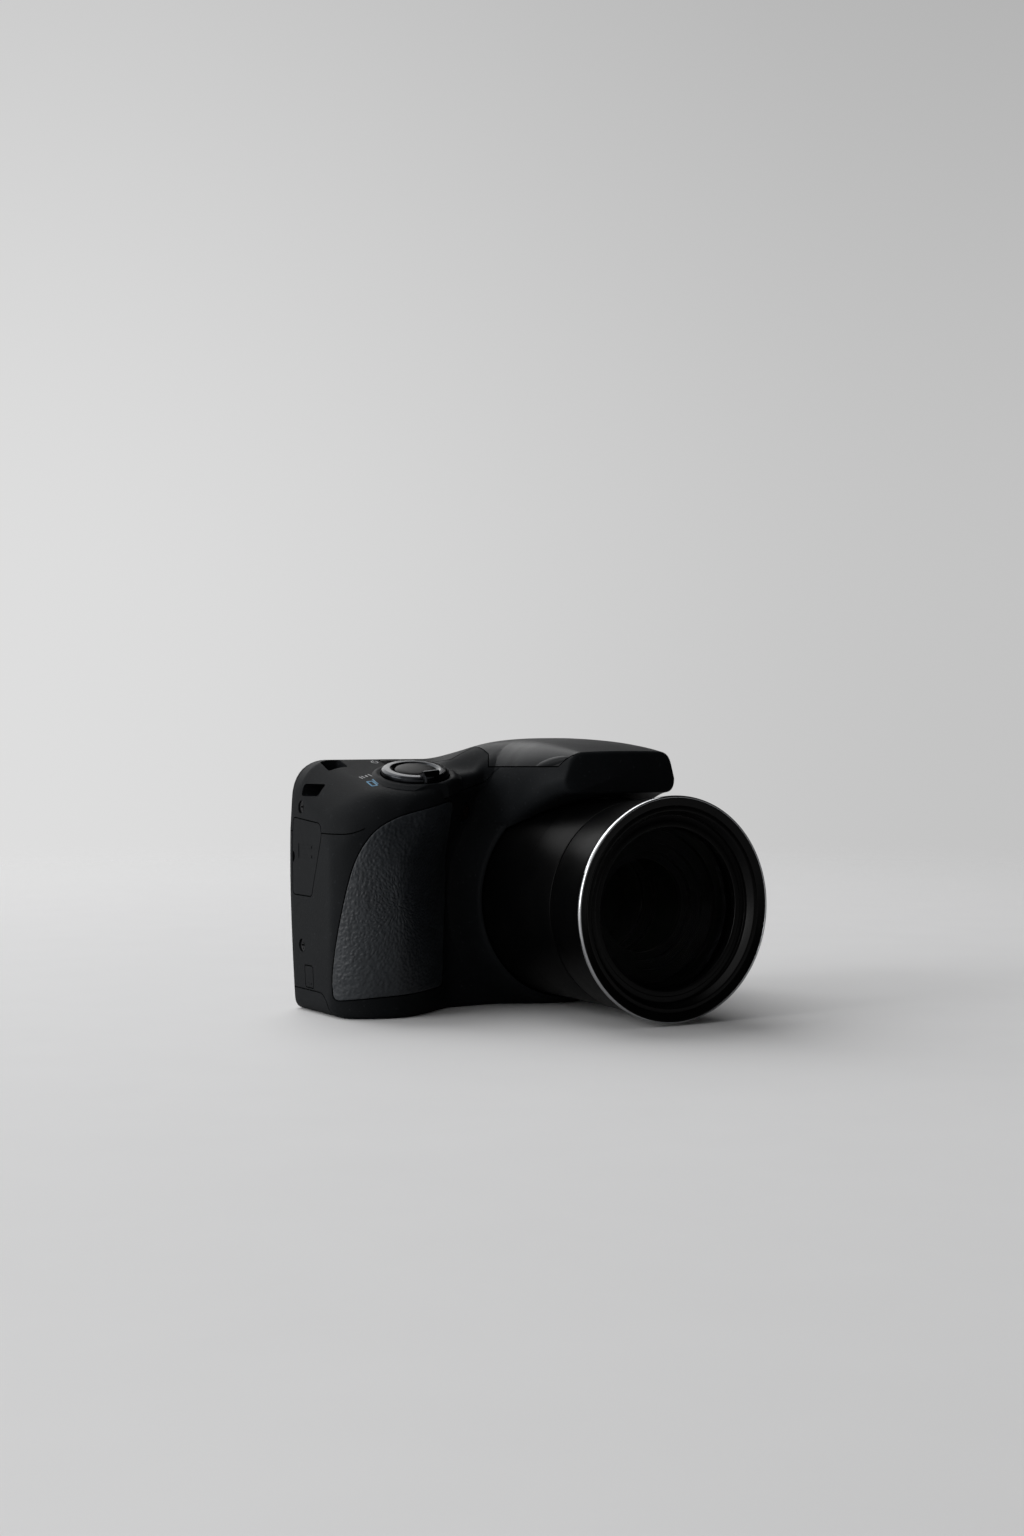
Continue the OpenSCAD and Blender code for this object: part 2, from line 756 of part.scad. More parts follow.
module tripod_bush() {
    color([0.7, 0.7, 0.72]) difference() {
        union() {
            cylinder(h = socket_depth + 1.4, r = bush_r);
            intersection() {
                translate([0, 0, wall + fixed_gap]) cylinder(h = 1, r = bush_r + 1.6);
                box([-10, -10, 0], [10, split_y - seam, 5]);
            }
        }
        translate([0, 0, -1]) cylinder(h = socket_depth + 1, r = socket_r);
    }
}

// Chassis, boards and sensor
module chassis() {
    back = chassis_y + chassis_t;
    right = far_side - 5.4;
    top = case_z1 + 13;
    color([0.62, 0.62, 0.64]) difference() {
        union() {
            box([-36, chassis_y, wall + 0.1], [right, back, shoulder_h - 6]);
            box([case_x1, chassis_y, 12], [-35.9, back, top]);
            box([grip_x + 8.5, chassis_y, case_z1], [case_x1 + 0.1, back, top]);
            box([-15, chassis_y, shoulder_h - 6.1], [15, back, lens_top + 3.2]);
            for (x = [-24, far_side - 11.9]) for (z = [14, lens_z + 19.9]) rod_y(chassis_y, board_y, x, z, 1.6);
            rod_y(chassis_y, key_y, -44, case_z1 + 10, 1.6);
            rod_y(chassis_y, key_y, -34.5, 8, 1.4);
        }
        box([-9, chassis_y - 1, 0], [9, chassis_y + 2, 10]);
        box([-9, chassis_y - 1, lens_z - 8], [9, chassis_y + 2, lens_z + 8]);
    }
}

module main_board() {
    color([0.05, 0.3, 0.15]) box([-28, board_y, 11], [far_side - 5.9, board_y + board_t, lens_z + 24.9]);
}

sensor_y = base_y + base_plate + 0.6;
module sensor_board() {
    color([0.05, 0.3, 0.15]) box([-10, sensor_y + 1, lens_z - 10], [10, sensor_y + 2, lens_z + 10]);
}

module image_sensor() {
    color([0.25, 0.3, 0.4]) box([-4.5, sensor_y, lens_z - 3.6], [4.5, sensor_y + 1, lens_z + 3.6]);
}

// Lens
module lens_base() {
    color([0.1, 0.1, 0.11]) difference() {
        union() {
            tube(base_y, base_y + base_plate, sleeve_r - 0.2, 7);
            tube(base_y - 4, base_y + base_plate, 9, 7);
            for (a = [50, 130, 200, 340])
                rod_y(base_y, chassis_y, 20 * cos(a), lens_z + 20 * sin(a), 2);
            difference() {
                box([-10, base_y + 1, lens_z - 10], [10, sensor_y + 1, lens_z + 10]);
                box([-8.5, base_y, lens_z - 8.5], [8.5, sensor_y + 2, lens_z + 8.5]);
            }
            box([-23.5, base_y + 1, motor_z - 1.2], [-18.5, chassis_y - 0.8, motor_z]);
        }
        tube(base_y - 8, sensor_y + 4, 7, 0);
    }
}

module rear_element() {
    color([0.7, 0.8, 0.85, 0.5]) tube(base_y - 3.5, base_y - 0.5, 7, 0);
}

module lens_sleeve() {
    step_y = sleeve_front_y + 13.8;
    color([0.05, 0.05, 0.055]) turned([
        [sleeve_in, sleeve_front_y], [sleeve_r - 0.3, sleeve_front_y], [sleeve_r, sleeve_front_y + 0.3],
        [sleeve_r, step_y], [sleeve_r - 0.25, step_y + 0.25], [sleeve_r - 0.25, base_y], [sleeve_in, base_y]
    ]);
}

module cam_ring() {
    y0 = sleeve_front_y + 2;
    y1 = base_y - 1;
    color([0.2, 0.2, 0.21]) difference() {
        tube(y0, y1, cam_out, cam_in);
        for (a = [0, 120, 240])
            translate([0, (y0 + y1) / 2, lens_z]) rotate([0, a, 0]) translate([0, 0, cam_in]) rotate([0, 0, 35])
                cube([2.2, (y1 - y0) * 0.8, 6], center = true);
    }
}

module middle_barrel() {
    hub = middle_y + 12;
    color([0.06, 0.06, 0.065]) turned([
        [mid_in, middle_y], [mid_out, middle_y], [mid_out, middle_end], [carrier_r, middle_end], [carrier_r, hub],
        [carrier_r + 1, hub], [carrier_r + 1, middle_end - 1.5], [mid_in, middle_end - 1.5]
    ]);
}

module shutter_unit() {
    y0 = middle_end - 13.6;
    color([0.15, 0.15, 0.16]) tube(y0, y0 + 4, carrier_r, 5);
}

module second_element() {
    y0 = middle_y + 13;
    color([0.6, 0.7, 0.8, 0.5]) tube(y0, y0 + 4, carrier_r, 0);
}

module front_barrel() {
    rear = middle_end - 3;
    collar_r = sleeve_r + 0.1;
    lip_y = sleeve_front_y - 0.35;
    color([0.05, 0.05, 0.055]) turned([
        [tube_in, rear], [tube_in, glass_y], [bezel_r, glass_y], [bezel_r, ring_end], [ring_r - 0.5, ring_end],
        [collar_r, lip_y], [collar_r - 1.1, lip_y], [collar_r - 1.1, glass_y + 2.5],
        [tube_out, glass_y + 2.5], [tube_out, rear]
    ]);
}

module front_ring() {
    color([0.85, 0.86, 0.88]) turned([
        [bezel_r, ring_end], [bezel_r, front_y + 0.9], [ring_r - 0.8, front_y], [ring_r - 0.25, front_y + 0.25],
        [ring_r, front_y + 0.9], [ring_r, front_y + 1.9], [ring_r - 0.3, ring_end]
    ]);
}

module front_bezel() {
    rim = bezel_r - fixed_gap;
    color([0.03, 0.03, 0.032]) turned([
        [rim, bezel_y + 0.3], [rim, glass_y], [glass_r, glass_y], [glass_r, seat_y + 0.3],
        [glass_r + 0.3, seat_y], [cap_seat_r, seat_y], [cap_seat_r, bezel_y], [rim - 0.3, bezel_y]
    ]);
}

module front_element() {
    dome = 60;
    color([0.6, 0.7, 0.85, 0.4]) intersection() {
        translate([0, seat_y + glass_sink + dome, lens_z]) sphere(r = dome, $fn = 96);
        tube(front_y, glass_y + 5, glass_r - pin_fit, 0);
    }
    color([0.6, 0.7, 0.85, 0.4]) tube(glass_y + 5, baffle_y, tube_in - fixed_gap, 0);
}

module front_baffle() {
    rim = tube_in - fixed_gap;
    steps = [18.4, 15.4, 13.2, 11.3];
    depths = [0, 1.8, 3.2, 4.6, 6];
    color([0.06, 0.06, 0.07]) turned(concat(
        [[rim, baffle_y], [rim, baffle_y + depths[4]]],
        [for (i = [3:-1:0]) for (d = [depths[i + 1], depths[i]]) [steps[i], baffle_y + d]]
    ));
}

module zoom_motor() {
    color([0.6, 0.6, 0.62]) {
        translate([-21, base_y + base_plate + 0.3 + motor_r, motor_z]) cylinder(h = 12, r = motor_r);
        translate([-21, base_y + base_plate + 0.3 + motor_r, motor_z + 12]) cylinder(h = 1.5, r = 1);
    }
}

// Flash
module flash_turn() {
    translate([0, flash_axis_y, flash_axis_z]) rotate([-flash_angle, 0, 0])
        translate([0, -flash_axis_y, -flash_axis_z]) children();
}

module flash_lid() {
    color([0.05, 0.05, 0.055]) flash_turn() moulded() {
        intersection() {
            union() {
                shell(wall);
                finger_tabs();
            }
            lid_space(0);
        }
    }
}

// Small ledges under the two sides of the lid, to lift it by
module finger_tabs() {
    for (side = [-1, 1])
        hull() {
            translate([side * 16.8, plate_y + 8, hump_h - 6.4]) sphere(1.1, $fn = 12);
            translate([side * 17.9, plate_y + 14, hump_h - 6.2]) sphere(1.3, $fn = 12);
            translate([side * 17.4, plate_y + 21, hump_h - 6.2]) sphere(0.6, $fn = 12);
        }
}

module flash_housing() {
    pad_z = crown_at(arm_x + arm_w / 2, plate_y + 3) - wall - pin_fit;
    color([0.08, 0.08, 0.085]) flash_turn() difference() {
        union() {
            box([-flash_x, flash_front_y, flash_low_z], [flash_x, flash_front_y + 14, flash_top_z]);
            for (side = [-1, 1]) {
                x0 = side * arm_x - arm_w / 2;
                x1 = x0 + arm_w;
                box([x0, flash_front_y + 13, flash_top_z - 2], [x1, flash_axis_y, flash_axis_z]);
                box([x0, flash_front_y + 1, flash_top_z - 0.3], [x1, flash_front_y + 12, pad_z]);
                rod_x(x0, x1, flash_axis_y, flash_axis_z, 1.5);
            }
        }
        box([1 - flash_x, flash_front_y - 1, flash_low_z + 1], [flash_x - 1, flash_front_y + 12, flash_top_z - 1]);
        rod_x(-20, 20, flash_axis_y, flash_axis_z, flash_pin_r + pin_fit);
    }
}

module flash_reflector() {
    a = flash_front_y + 1.2;
    b = flash_front_y + 12;
    low = flash_low_z + 1;
    high = flash_top_z - 1;
    lip = 0.3;
    color([0.9, 0.9, 0.92]) flash_turn() across(1.1 - flash_x, flash_x - 1.1) difference() {
        polygon([[a, low], [b, low], [b, high], [a, high]]);
        polygon(concat(
            [[a - 1, low + lip]],
            curve([a, low + lip], [b + 3, (low + high) / 2], [a, high - lip], 8),
            [[a - 1, high - lip]]
        ));
    }
}

module flash_tube() {
    color([0.9, 0.9, 0.95, 0.6]) flash_turn()
        rod_x(1.1 - flash_x, flash_x - 1.1, flash_front_y + 3.4, (flash_low_z + flash_top_z) / 2, 1.1);
}

module flash_window() {
    color([0.9, 0.9, 0.95, 0.5]) flash_turn()
        box([1.05 - flash_x, flash_front_y, flash_low_z + 1.05],
            [flash_x - 1.05, flash_front_y + 1.2, flash_top_z - 1.05]);
}

module flash_frame() {
    base_z = lens_top + 0.8;
    color([0.62, 0.62, 0.64]) difference() {
        union() {
            box([-post_x - post_w / 2, flash_axis_y - 3, base_z], [post_x + post_w / 2, chassis_y, base_z + 0.8]);
            for (side = [-1, 1]) {
                x0 = side * post_x - post_w / 2;
                x1 = x0 + post_w;
                box([x0, flash_axis_y - 1.5, base_z], [x1, flash_axis_y + 1.5, flash_axis_z]);
                rod_x(x0, x1, flash_axis_y, flash_axis_z, 1.5);
            }
        }
        rod_x(-20, 20, flash_axis_y, flash_axis_z, flash_pin_r);
    }
}

module flash_hinge_pin() {
    end = post_x + post_w / 2;
    color([0.75, 0.75, 0.76]) rod_x(-end, end, flash_axis_y, flash_axis_z, flash_pin_r);
}

module flash_capacitor() {
    color([0.1, 0.1, 0.12]) rod_x(grip_x + 8.5, -34, chassis_y + chassis_t + 3.4, case_z1 + 3.7, 3.3);
}

// Controls on the deck
module zoom_lever() {
    bore = shutter_r + run_gap;
    color([0.3, 0.31, 0.33]) deck_frame() difference() {
        union() {
            translate([0, 0, -0.75]) rotate_extrude() polygon([
                [bore, 0], [lever_r, 0], [lever_r, 2.1], [lever_r - 0.35, 2.55], [bore + 0.45, 2.75], [bore, 2.4]
            ]);
            translate([-1.9, -lever_r - 0.9, 0.9]) rotate([90, 0, 90]) linear_extrude(3.8)
                polygon([[0, 0], [0, 1.6], [1, 2.5], [1.9, 2.3], [2.6, 0.6], [2.6, 0]]);
        }
        cylinder(h = 20, r = bore, center = true);
    }
}

module shutter_button() {
    dome = 26;
    color([0.06, 0.06, 0.065]) deck_frame() {
        intersection() {
            translate([0, 0, -1.3]) cylinder(h = 5, r = shutter_r);
            translate([0, 0, 2.5 - dome]) sphere(r = dome, $fn = 96);
        }
        translate([0, 0, -4.2]) cylinder(h = 3, r = stem_r);
    }
}

module switch_plate() {
    color([0.05, 0.3, 0.15]) deck_frame() {
        translate([-5.2, -4.6, -6.6]) cube([10.4, 9.6, 0.8]);
        difference() {
            translate([0, 0, -5.8]) cylinder(h = 0.78, r = 4.6);
            translate([0, 0, -5.9]) cylinder(h = 2, r = 3);
        }
    }
}

module power_button() {
    flange_z = deck_at(power_x, power_y - power_r - 0.6) - wall - 1.6;
    color([0.08, 0.08, 0.085]) {
        translate([power_x, power_y, flange_z]) cylinder(h = top_at(power_x, power_y) - flange_z + 0.3, r = power_r);
        translate([power_x, power_y, flange_z]) cylinder(h = 1.2, r = power_r + 0.6);
    }
}

// Rear face
module lcd_window() {
    color([0.04, 0.04, 0.05]) along(rear_y - window_t, rear_y) translate([lcd_x0, lcd_z0])
        rounded([lcd_x1 - lcd_x0, lcd_z1 - lcd_z0], 1.5);
}

module lcd_panel() {
    color([0.1, 0.12, 0.15]) box([lcd_x0 + 2, panel_y, lcd_z0 + 3], [lcd_x1 - 2, rear_y - window_t, lcd_z1 - 3]);
}

module key_board() {
    color([0.05, 0.3, 0.15]) difference() {
        box([grip_x + 5.5, key_y, 6], [-32.5, key_y + key_t, deck_h - 5.6]);
        box([grip_x + 1.5, key_y - 1, 14], [grip_x + 6, key_y + 2, 20]);
    }
}

module key(x, z) {
    color([0.09, 0.09, 0.095]) {
        rod_y(inner_y - 0.4, face_y + 0.45, x, z, key_d / 2);
        rod_y(inner_y - 0.85, inner_y - 0.1, x, z, key_d / 2 + 0.8);
    }
}

module movie_button() { key(keys[0][1], keys[0][2]); }
module play_button() { key(keys[1][1], keys[1][2]); }
module frame_button() { key(keys[2][1], keys[2][2]); }
module menu_button() { key(keys[3][1], keys[3][2]); }

module control_pad() {
    color([0.09, 0.09, 0.095]) translate([pad_x, 0, pad_z]) rotate([-90, 0, 0]) rotate_extrude() polygon([
        [set_r + 0.3, inner_y - 0.5], [pad_d / 2, inner_y - 0.5], [pad_d / 2, face_y + 0.2],
        [pad_d / 2 - 0.6, face_y + 0.7], [set_r + 1.4, face_y + 0.3], [set_r + 0.3, face_y + 0.1]
    ]);
}

module pad_pivot() {
    color([0.2, 0.2, 0.21]) difference() {
        rod_y(key_y + key_t + 0.33, inner_y - 0.83, pad_x, pad_z, 6.4);
        rod_y(key_y, inner_y + 1, pad_x, pad_z, 5.5);
    }
}

module set_button() {
    color([0.09, 0.09, 0.095]) rod_y(inner_y - 0.85, face_y + 0.5, pad_x, pad_z, set_r);
}

// Small pieces
module af_lamp() {
    color([0.8, 0.5, 0.3]) {
        rod_y(face_at(lamp_x, lamp_z) + 0.2, recess_y + wall + 0.4, lamp_x, lamp_z, lamp_r);
        rod_y(recess_y + wall + 0.3, recess_y + wall + 1.2, lamp_x, lamp_z, lamp_r + 0.7);
    }
}

module speaker() {
    color([0.3, 0.3, 0.32]) rod_x(far_side - wall - 3.2, far_side - wall - 0.3, speaker_y, speaker_z, 4);
}

module jack_block() {
    color([0.3, 0.3, 0.32]) difference() {
        box([case_x0 - 0.9, -9.5, 31], [case_x0, 1.5, 46]);
        box([case_x0 - 2, -8, 38], [case_x0 - 0.3, 0, 42]);
    }
    color([0.3, 0.3, 0.32]) box([case_x0 - 0.4, -7, 6.4], [case_x0, -3, 11.2]);
}

module case_screws() {
    color([0.3, 0.3, 0.31]) {
        for (z = grip_screws) case_screw(-1, grip_x * lean(z) + 0.4, screw_y, z);
        for (z = far_screws) case_screw(1, far_side * lean(z) - 0.4, screw_y, z);
    }
}

module case_screw(side, x, y, z) {
    translate([x, y, z]) rotate([0, -90 * side, 0]) difference() {
        cylinder(h = 1.1, r = screw_r);
        translate([0, 0, -1]) for (a = [0, 90]) rotate([0, 0, a]) cube([1.9, 0.45, 2.9], center = true);
    }
}

front_cover();
top_cover();
rear_cover();
grip_skin();
flash_lid();
terminal_cover();
coupler_flap();
battery_door();
door_hinge_leaf();
door_hinge_pin();
battery_case();
battery();
memory_card();
battery_latch();
latch_pin();
tripod_bush();
chassis();
main_board();
sensor_board();
image_sensor();
lens_base();
rear_element();
lens_sleeve();
cam_ring();
middle_barrel();
shutter_unit();
second_element();
front_barrel();
front_ring();
front_bezel();
front_element();
front_baffle();
zoom_motor();
flash_frame();
flash_hinge_pin();
flash_housing();
flash_reflector();
flash_tube();
flash_window();
flash_capacitor();
zoom_lever();
shutter_button();
switch_plate();
power_button();
lcd_window();
lcd_panel();
key_board();
movie_button();
play_button();
frame_button();
menu_button();
control_pad();
pad_pivot();
set_button();
af_lamp();
speaker();
jack_block();
case_screws();
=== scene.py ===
# %% [markdown]
# # A bridge camera, dressed for the shelf
# The solids of the camera come packed, in metres, with the tripod socket's mouth
# at the origin, the lens towards -Y and the hand grip at -X. This lesson gives
# them their looks. Every new piece is modelled in millimetres, because camera
# parts are drawn that way, and is scaled to metres when it is finished.

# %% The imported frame
import math
import bpy
from mathutils import Matrix, Vector, noise


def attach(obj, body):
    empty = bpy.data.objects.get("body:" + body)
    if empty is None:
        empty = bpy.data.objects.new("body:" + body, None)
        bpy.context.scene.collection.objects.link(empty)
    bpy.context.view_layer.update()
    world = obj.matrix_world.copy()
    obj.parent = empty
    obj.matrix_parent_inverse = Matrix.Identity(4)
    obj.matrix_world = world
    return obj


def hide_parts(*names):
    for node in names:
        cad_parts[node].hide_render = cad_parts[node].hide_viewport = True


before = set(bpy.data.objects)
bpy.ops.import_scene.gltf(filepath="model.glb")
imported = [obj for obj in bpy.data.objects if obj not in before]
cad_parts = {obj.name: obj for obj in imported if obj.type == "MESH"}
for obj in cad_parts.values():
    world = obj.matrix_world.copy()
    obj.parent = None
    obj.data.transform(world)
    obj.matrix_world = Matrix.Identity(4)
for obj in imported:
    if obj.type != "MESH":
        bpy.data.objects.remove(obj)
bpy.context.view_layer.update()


# %% [markdown]
# ## Camera and room
# The picture is taken from a little above table height, 31 degrees round from the
# lens axis on the grip side, with a 50 mm lens. A small soft lamp stands on the
# grip side and a large one hangs high behind. The rest of the light is a pale room.
# To the eye its walls are pale all round. As a light they are pale on the grip side
# only, and metal and glass also show the wall behind. The side where the
# photographer stands is dim, so that the black front of the camera stays black.

# %% Camera
def looking(way):
    return way.to_track_quat("-Z", "Y").to_euler()


TURN, DIP = math.radians(30.74), math.radians(1.13)
gaze = Vector((math.sin(TURN) * math.cos(DIP), math.cos(TURN) * math.cos(DIP), -math.sin(DIP)))
bpy.ops.object.camera_add(location=(-0.2958, -0.4921, 0.0723), rotation=looking(gaze))
bpy.context.object.data.lens = 50
bpy.context.scene.camera = bpy.context.object
bpy.context.scene.view_settings.view_transform = "Standard"
print("camera at", tuple(bpy.context.object.location))


# %% [markdown]
# ## Sums on sockets
# A finish is a small sum over noises and positions. Wrapping a socket in a class
# lets such a sum be written as Python: each operator adds one Math node, and
# every other node comes from the one method that sets it up and links it.

# %% The socket class
class Wire:
    """A socket of a finish. Sums on it add Math nodes to the finish's tree."""

    def __init__(self, tree, socket=None):
        self.tree, self.socket = tree, socket

    def add(self, kind, settings=None, inputs=None, out=0):
        node = self.tree.nodes.new(kind)
        for key, value in (settings or {}).items():
            setattr(node, key, value)
        for key, value in (inputs or {}).items():
            if isinstance(value, Wire):
                self.tree.links.new(value.socket, node.inputs[key])
            else:
                node.inputs[key].default_value = value
        return Wire(self.tree, node.outputs[out])

    def sum(self, operation, a, b):
        return self.add("ShaderNodeMath", {"operation": operation}, {0: a, 1: b})

    def __add__(self, other):
        return self.sum("ADD", self, other)

    def __radd__(self, other):
        return self.sum("ADD", other, self)

    def __sub__(self, other):
        return self.sum("SUBTRACT", self, other)

    def __rsub__(self, other):
        return self.sum("SUBTRACT", other, self)

    def __mul__(self, other):
        return self.sum("MULTIPLY", self, other)

    def __rmul__(self, other):
        return self.sum("MULTIPLY", other, self)

    def __pow__(self, other):
        return self.sum("POWER", self, other)

    def __abs__(self):
        return self.sum("ABSOLUTE", self, 0)

    def most(self, other):
        return self.sum("MAXIMUM", self, other)

    def under(self, other):
        return self.sum("LESS_THAN", self, other)

    def axes(self):
        node = self.add("ShaderNodeSeparateXYZ", {}, {0: self}).socket.node
        return [Wire(self.tree, s) for s in node.outputs]

    def rays(self):
        """Whether a ray comes straight from the view, and whether it comes by way of metal or glass."""
        node = self.add("ShaderNodeLightPath").socket.node
        straight, glossy, through = [Wire(self.tree, node.outputs[f"Is {kind} Ray"])
                                     for kind in ("Camera", "Glossy", "Transmission")]
        return straight, glossy.most(through)

    def spread(self, low, high, to_low=0.0, to_high=1.0):
        """This value taken from one range to another, smoothly and no further."""
        return self.add("ShaderNodeMapRange", {"interpolation_type": "SMOOTHSTEP"},
                        {0: self, 1: low, 2: high, 3: to_low, 4: to_high})

    def noise(self, scale, detail=2.0, rough=0.5):
        return self.add("ShaderNodeTexNoise", {}, {"Vector": self, "Scale": scale, "Detail": detail,
                                                   "Roughness": rough})

    def cells(self, scale, feature):
        return self.add("ShaderNodeTexVoronoi", {"feature": feature}, {"Vector": self, "Scale": scale})

    def blend(self, a, b):
        """Colour a where this value is 0, colour b where it is 1."""
        a, b = [c if isinstance(c, Wire) else (*c, 1) for c in (a, b)]
        return self.add("ShaderNodeMix", {"data_type": "RGBA"}, {0: self, 6: a, 7: b}, 2)

    def bump(self, strength, distance, normal=None):
        inputs = {"Height": self, "Strength": strength, "Distance": distance}
        if normal:
            inputs["Normal"] = normal
        return self.add("ShaderNodeBump", {}, inputs)


def finish(name, recipe, **constants):
    """A new material: constants go on the shader's own sockets, recipe(place) gives what varies."""
    material = bpy.data.materials.new(name)
    material.use_nodes = True
    tree = material.node_tree
    shader = tree.nodes["Principled BSDF"]
    for key, value in constants.items():
        key = key.replace("_", " ")
        shader.inputs[key].default_value = (*value, 1) if isinstance(value, tuple) else value
    place = Wire(tree).add("ShaderNodeTexCoord", out="Object")
    for key, wire in recipe(place).items():
        tree.links.new(wire.socket, shader.inputs[key])
    return material


# %% The room
world = bpy.data.worlds.new("soft_room")
bpy.context.scene.world = world
world.use_nodes = True
room = world.node_tree
facing = Wire(room).add("ShaderNodeTexCoord", out="Generated")
east, north, up = facing.axes()
wall = (east * 0.859 - north * 0.511).spread(-0.27, 0.27, 0.735, 0.545) * up.spread(0.05, 0.55, 1.0, 0.70)
lit = (east * -0.95 + north * 0.14 + up * 0.50).spread(0.10, 0.95, 0.02, 1.0)
straight, mirrored = facing.rays()
seen = straight.most(mirrored * north.spread(0.2, 0.8) * up.spread(0.15, 0.45, 0.65, 0.0))
level = wall * (lit + seen * (1 - lit))
room.links.new(level.socket, room.nodes["Background"].inputs["Color"])
MIDDLE_OF_CAMERA = Vector((0, -0.02, 0.03))


def soft_lamp(name, place, size, watts):
    """A square soft lamp that points at the middle of the camera."""
    bpy.ops.object.light_add(type="AREA", location=place, rotation=looking(MIDDLE_OF_CAMERA - Vector(place)))
    lamp = bpy.context.object
    lamp.name = name
    lamp.data.size, lamp.data.energy = size, watts


soft_lamp("grip_side_lamp", (-1.40, 0.05, 0.50), 0.9, 7)
soft_lamp("overhead_lamp", (-0.10, 1.20, 1.42), 2.0, 23)


# %% [markdown]
# The table top is a wide pale sheet. It shows the soft shadow near the camera and
# fades out into the wall further away, so there is no horizon from any side. As a
# light it is dimmer on the far side from the lamp, like the walls.

# %% Table top
def sheet_recipe(place):
    x, y, z = place.axes()
    far = (x * x + y * y) ** 0.5
    mottle = place.noise(40, 3)
    straight, mirrored = place.rays()
    seen = straight.most(mirrored * y.spread(-0.1, 0.3))
    lit = (x * -0.92 + y * 0.28).spread(-0.12, 0.20, 0.24, 0.67)
    pale = mottle.blend((0.90, 0.90, 0.905), (0.93, 0.93, 0.935))
    return {"Base Color": (lit + seen * (1 - lit)).blend((0.0, 0.0, 0.0), pale),
            "Alpha": far.spread(0.22, 0.8, 1, 0), "Normal": place.noise(900, 2).bump(0.05, 0.0002)}


bpy.ops.object.select_all(action="DESELECT")
bpy.ops.mesh.primitive_circle_add(vertices=96, radius=2.0, fill_type="NGON", location=(0, 0, -0.00005))
table = bpy.context.object
table.name = "table_top"
table.data.materials.append(finish("pale_sheet", sheet_recipe, Roughness=0.75))


# %% [markdown]
# ## Helpers at the bench
# Four ways of making cover the whole camera: a loft through rings for the moulded
# body, a prism for whatever is cut straight, a spin for whatever is turned on a
# lathe, and a carve, which joins or cuts one solid with another. Each starts from
# a primitive. The outlines get their rounded corners before they are used.

# %% Outlines
def clear():
    if bpy.context.object and bpy.context.object.mode != "OBJECT":
        bpy.ops.object.mode_set(mode="OBJECT")
    bpy.ops.object.select_all(action="DESELECT")


def pick(piece):
    clear()
    bpy.context.view_layer.objects.active = piece
    piece.select_set(True)


def named(name):
    piece = bpy.context.object
    piece.name = piece.data.name = name
    return piece


def soft(points, cut=None, steps=5):
    """A closed outline with its corners rounded. A point may carry its own cut as a third value."""
    out = []
    for i, point in enumerate(points):
        here = Vector(point[:2])
        size = point[2] if len(point) > 2 else cut
        if not size:
            out.append(tuple(here))
            continue
        before, after = (Vector(points[k % len(points)][:2]) - here for k in (i - 1, i + 1))
        a, b = (here + way * min(size / way.length, 0.5) for way in (before, after))
        out += bend(a, here, b, steps)
    return out


def grow(points, gap):
    """A closed outline moved outwards by a gap."""
    area = sum(a[0] * b[1] - b[0] * a[1] for a, b in zip(points, points[1:] + points[:1]))
    side = 1 if area > 0 else -1
    spots = [Vector(p) for p in points]
    out = []
    for before, here, after in zip(spots[-1:] + spots[:-1], spots, spots[1:] + spots[:1]):
        ways = [(b - a).normalized() for a, b in ((before, here), (here, after)) if (b - a).length > 1e-6]
        normals = [Vector((w.y, -w.x)) * side for w in ways]
        mean = sum(normals, Vector((0, 0))).normalized()
        out.append(tuple(here + mean * gap / max(0.4, mean.dot(normals[0]))))
    return out


def box_outline(x0, z0, x1, z1, cut=0):
    return soft([(x0, z0), (x1, z0), (x1, z1), (x0, z1)], cut)


def circle(x, z, radius, count=48):
    turns = [2 * math.pi * i / count for i in range(count)]
    return [(x + radius * math.cos(t), z + radius * math.sin(t)) for t in turns]


def bend(a, b, c, count):
    """Points on a curve from a to c that is drawn towards b."""
    a, b, c = Vector(a), Vector(b), Vector(c)
    steps = [i / count for i in range(count + 1)]
    return [tuple((1 - t) ** 2 * a + 2 * t * (1 - t) * b + t * t * c) for t in steps]


def inside(a, b, count):
    """Even steps between two values, without the two."""
    return [a + (b - a) * i / (count + 1) for i in range(1, count + 1)]


# %% Loft, prism, lathe and carve
def all_points():
    bpy.ops.object.mode_set(mode="EDIT")
    bpy.ops.mesh.select_all(action="SELECT")


def outwards(piece):
    """Turns all faces outwards."""
    all_points()
    bpy.ops.mesh.normals_make_consistent(inside=False)
    bpy.ops.object.mode_set(mode="OBJECT")
    return piece


def closed(piece, merge=1e-4):
    """Merges doubles, closes open ends and turns the faces outwards."""
    all_points()
    bpy.ops.mesh.remove_doubles(threshold=merge)
    bpy.ops.mesh.fill_holes(sides=0)
    return outwards(piece)


def loft(name, rings):
    """A closed skin through rings that all have the same number of points."""
    clear()
    bpy.ops.mesh.primitive_grid_add(x_subdivisions=len(rings[0]), y_subdivisions=len(rings) - 1)
    piece = named(name)
    flat = [c for ring in rings for point in (*ring, ring[0]) for c in point]
    piece.data.vertices.foreach_set("co", flat)
    return closed(piece)


def prism(name, outline, axis, low, high):
    """An outline pushed along an axis: (y, z) along x, (x, z) along y or (x, y) along z."""
    clear()
    bpy.ops.mesh.primitive_circle_add(vertices=len(outline), fill_type="NGON")
    piece = named(name)
    way = [(high - low) * (axis == letter) for letter in "xyz"]
    for corner, (a, b) in zip(piece.data.vertices, outline):
        corner.co = {"x": (low, a, b), "y": (a, low, b), "z": (a, b, low)}[axis]
    all_points()
    bpy.ops.mesh.extrude_region_move(TRANSFORM_OT_translate={"value": way})
    return outwards(piece)


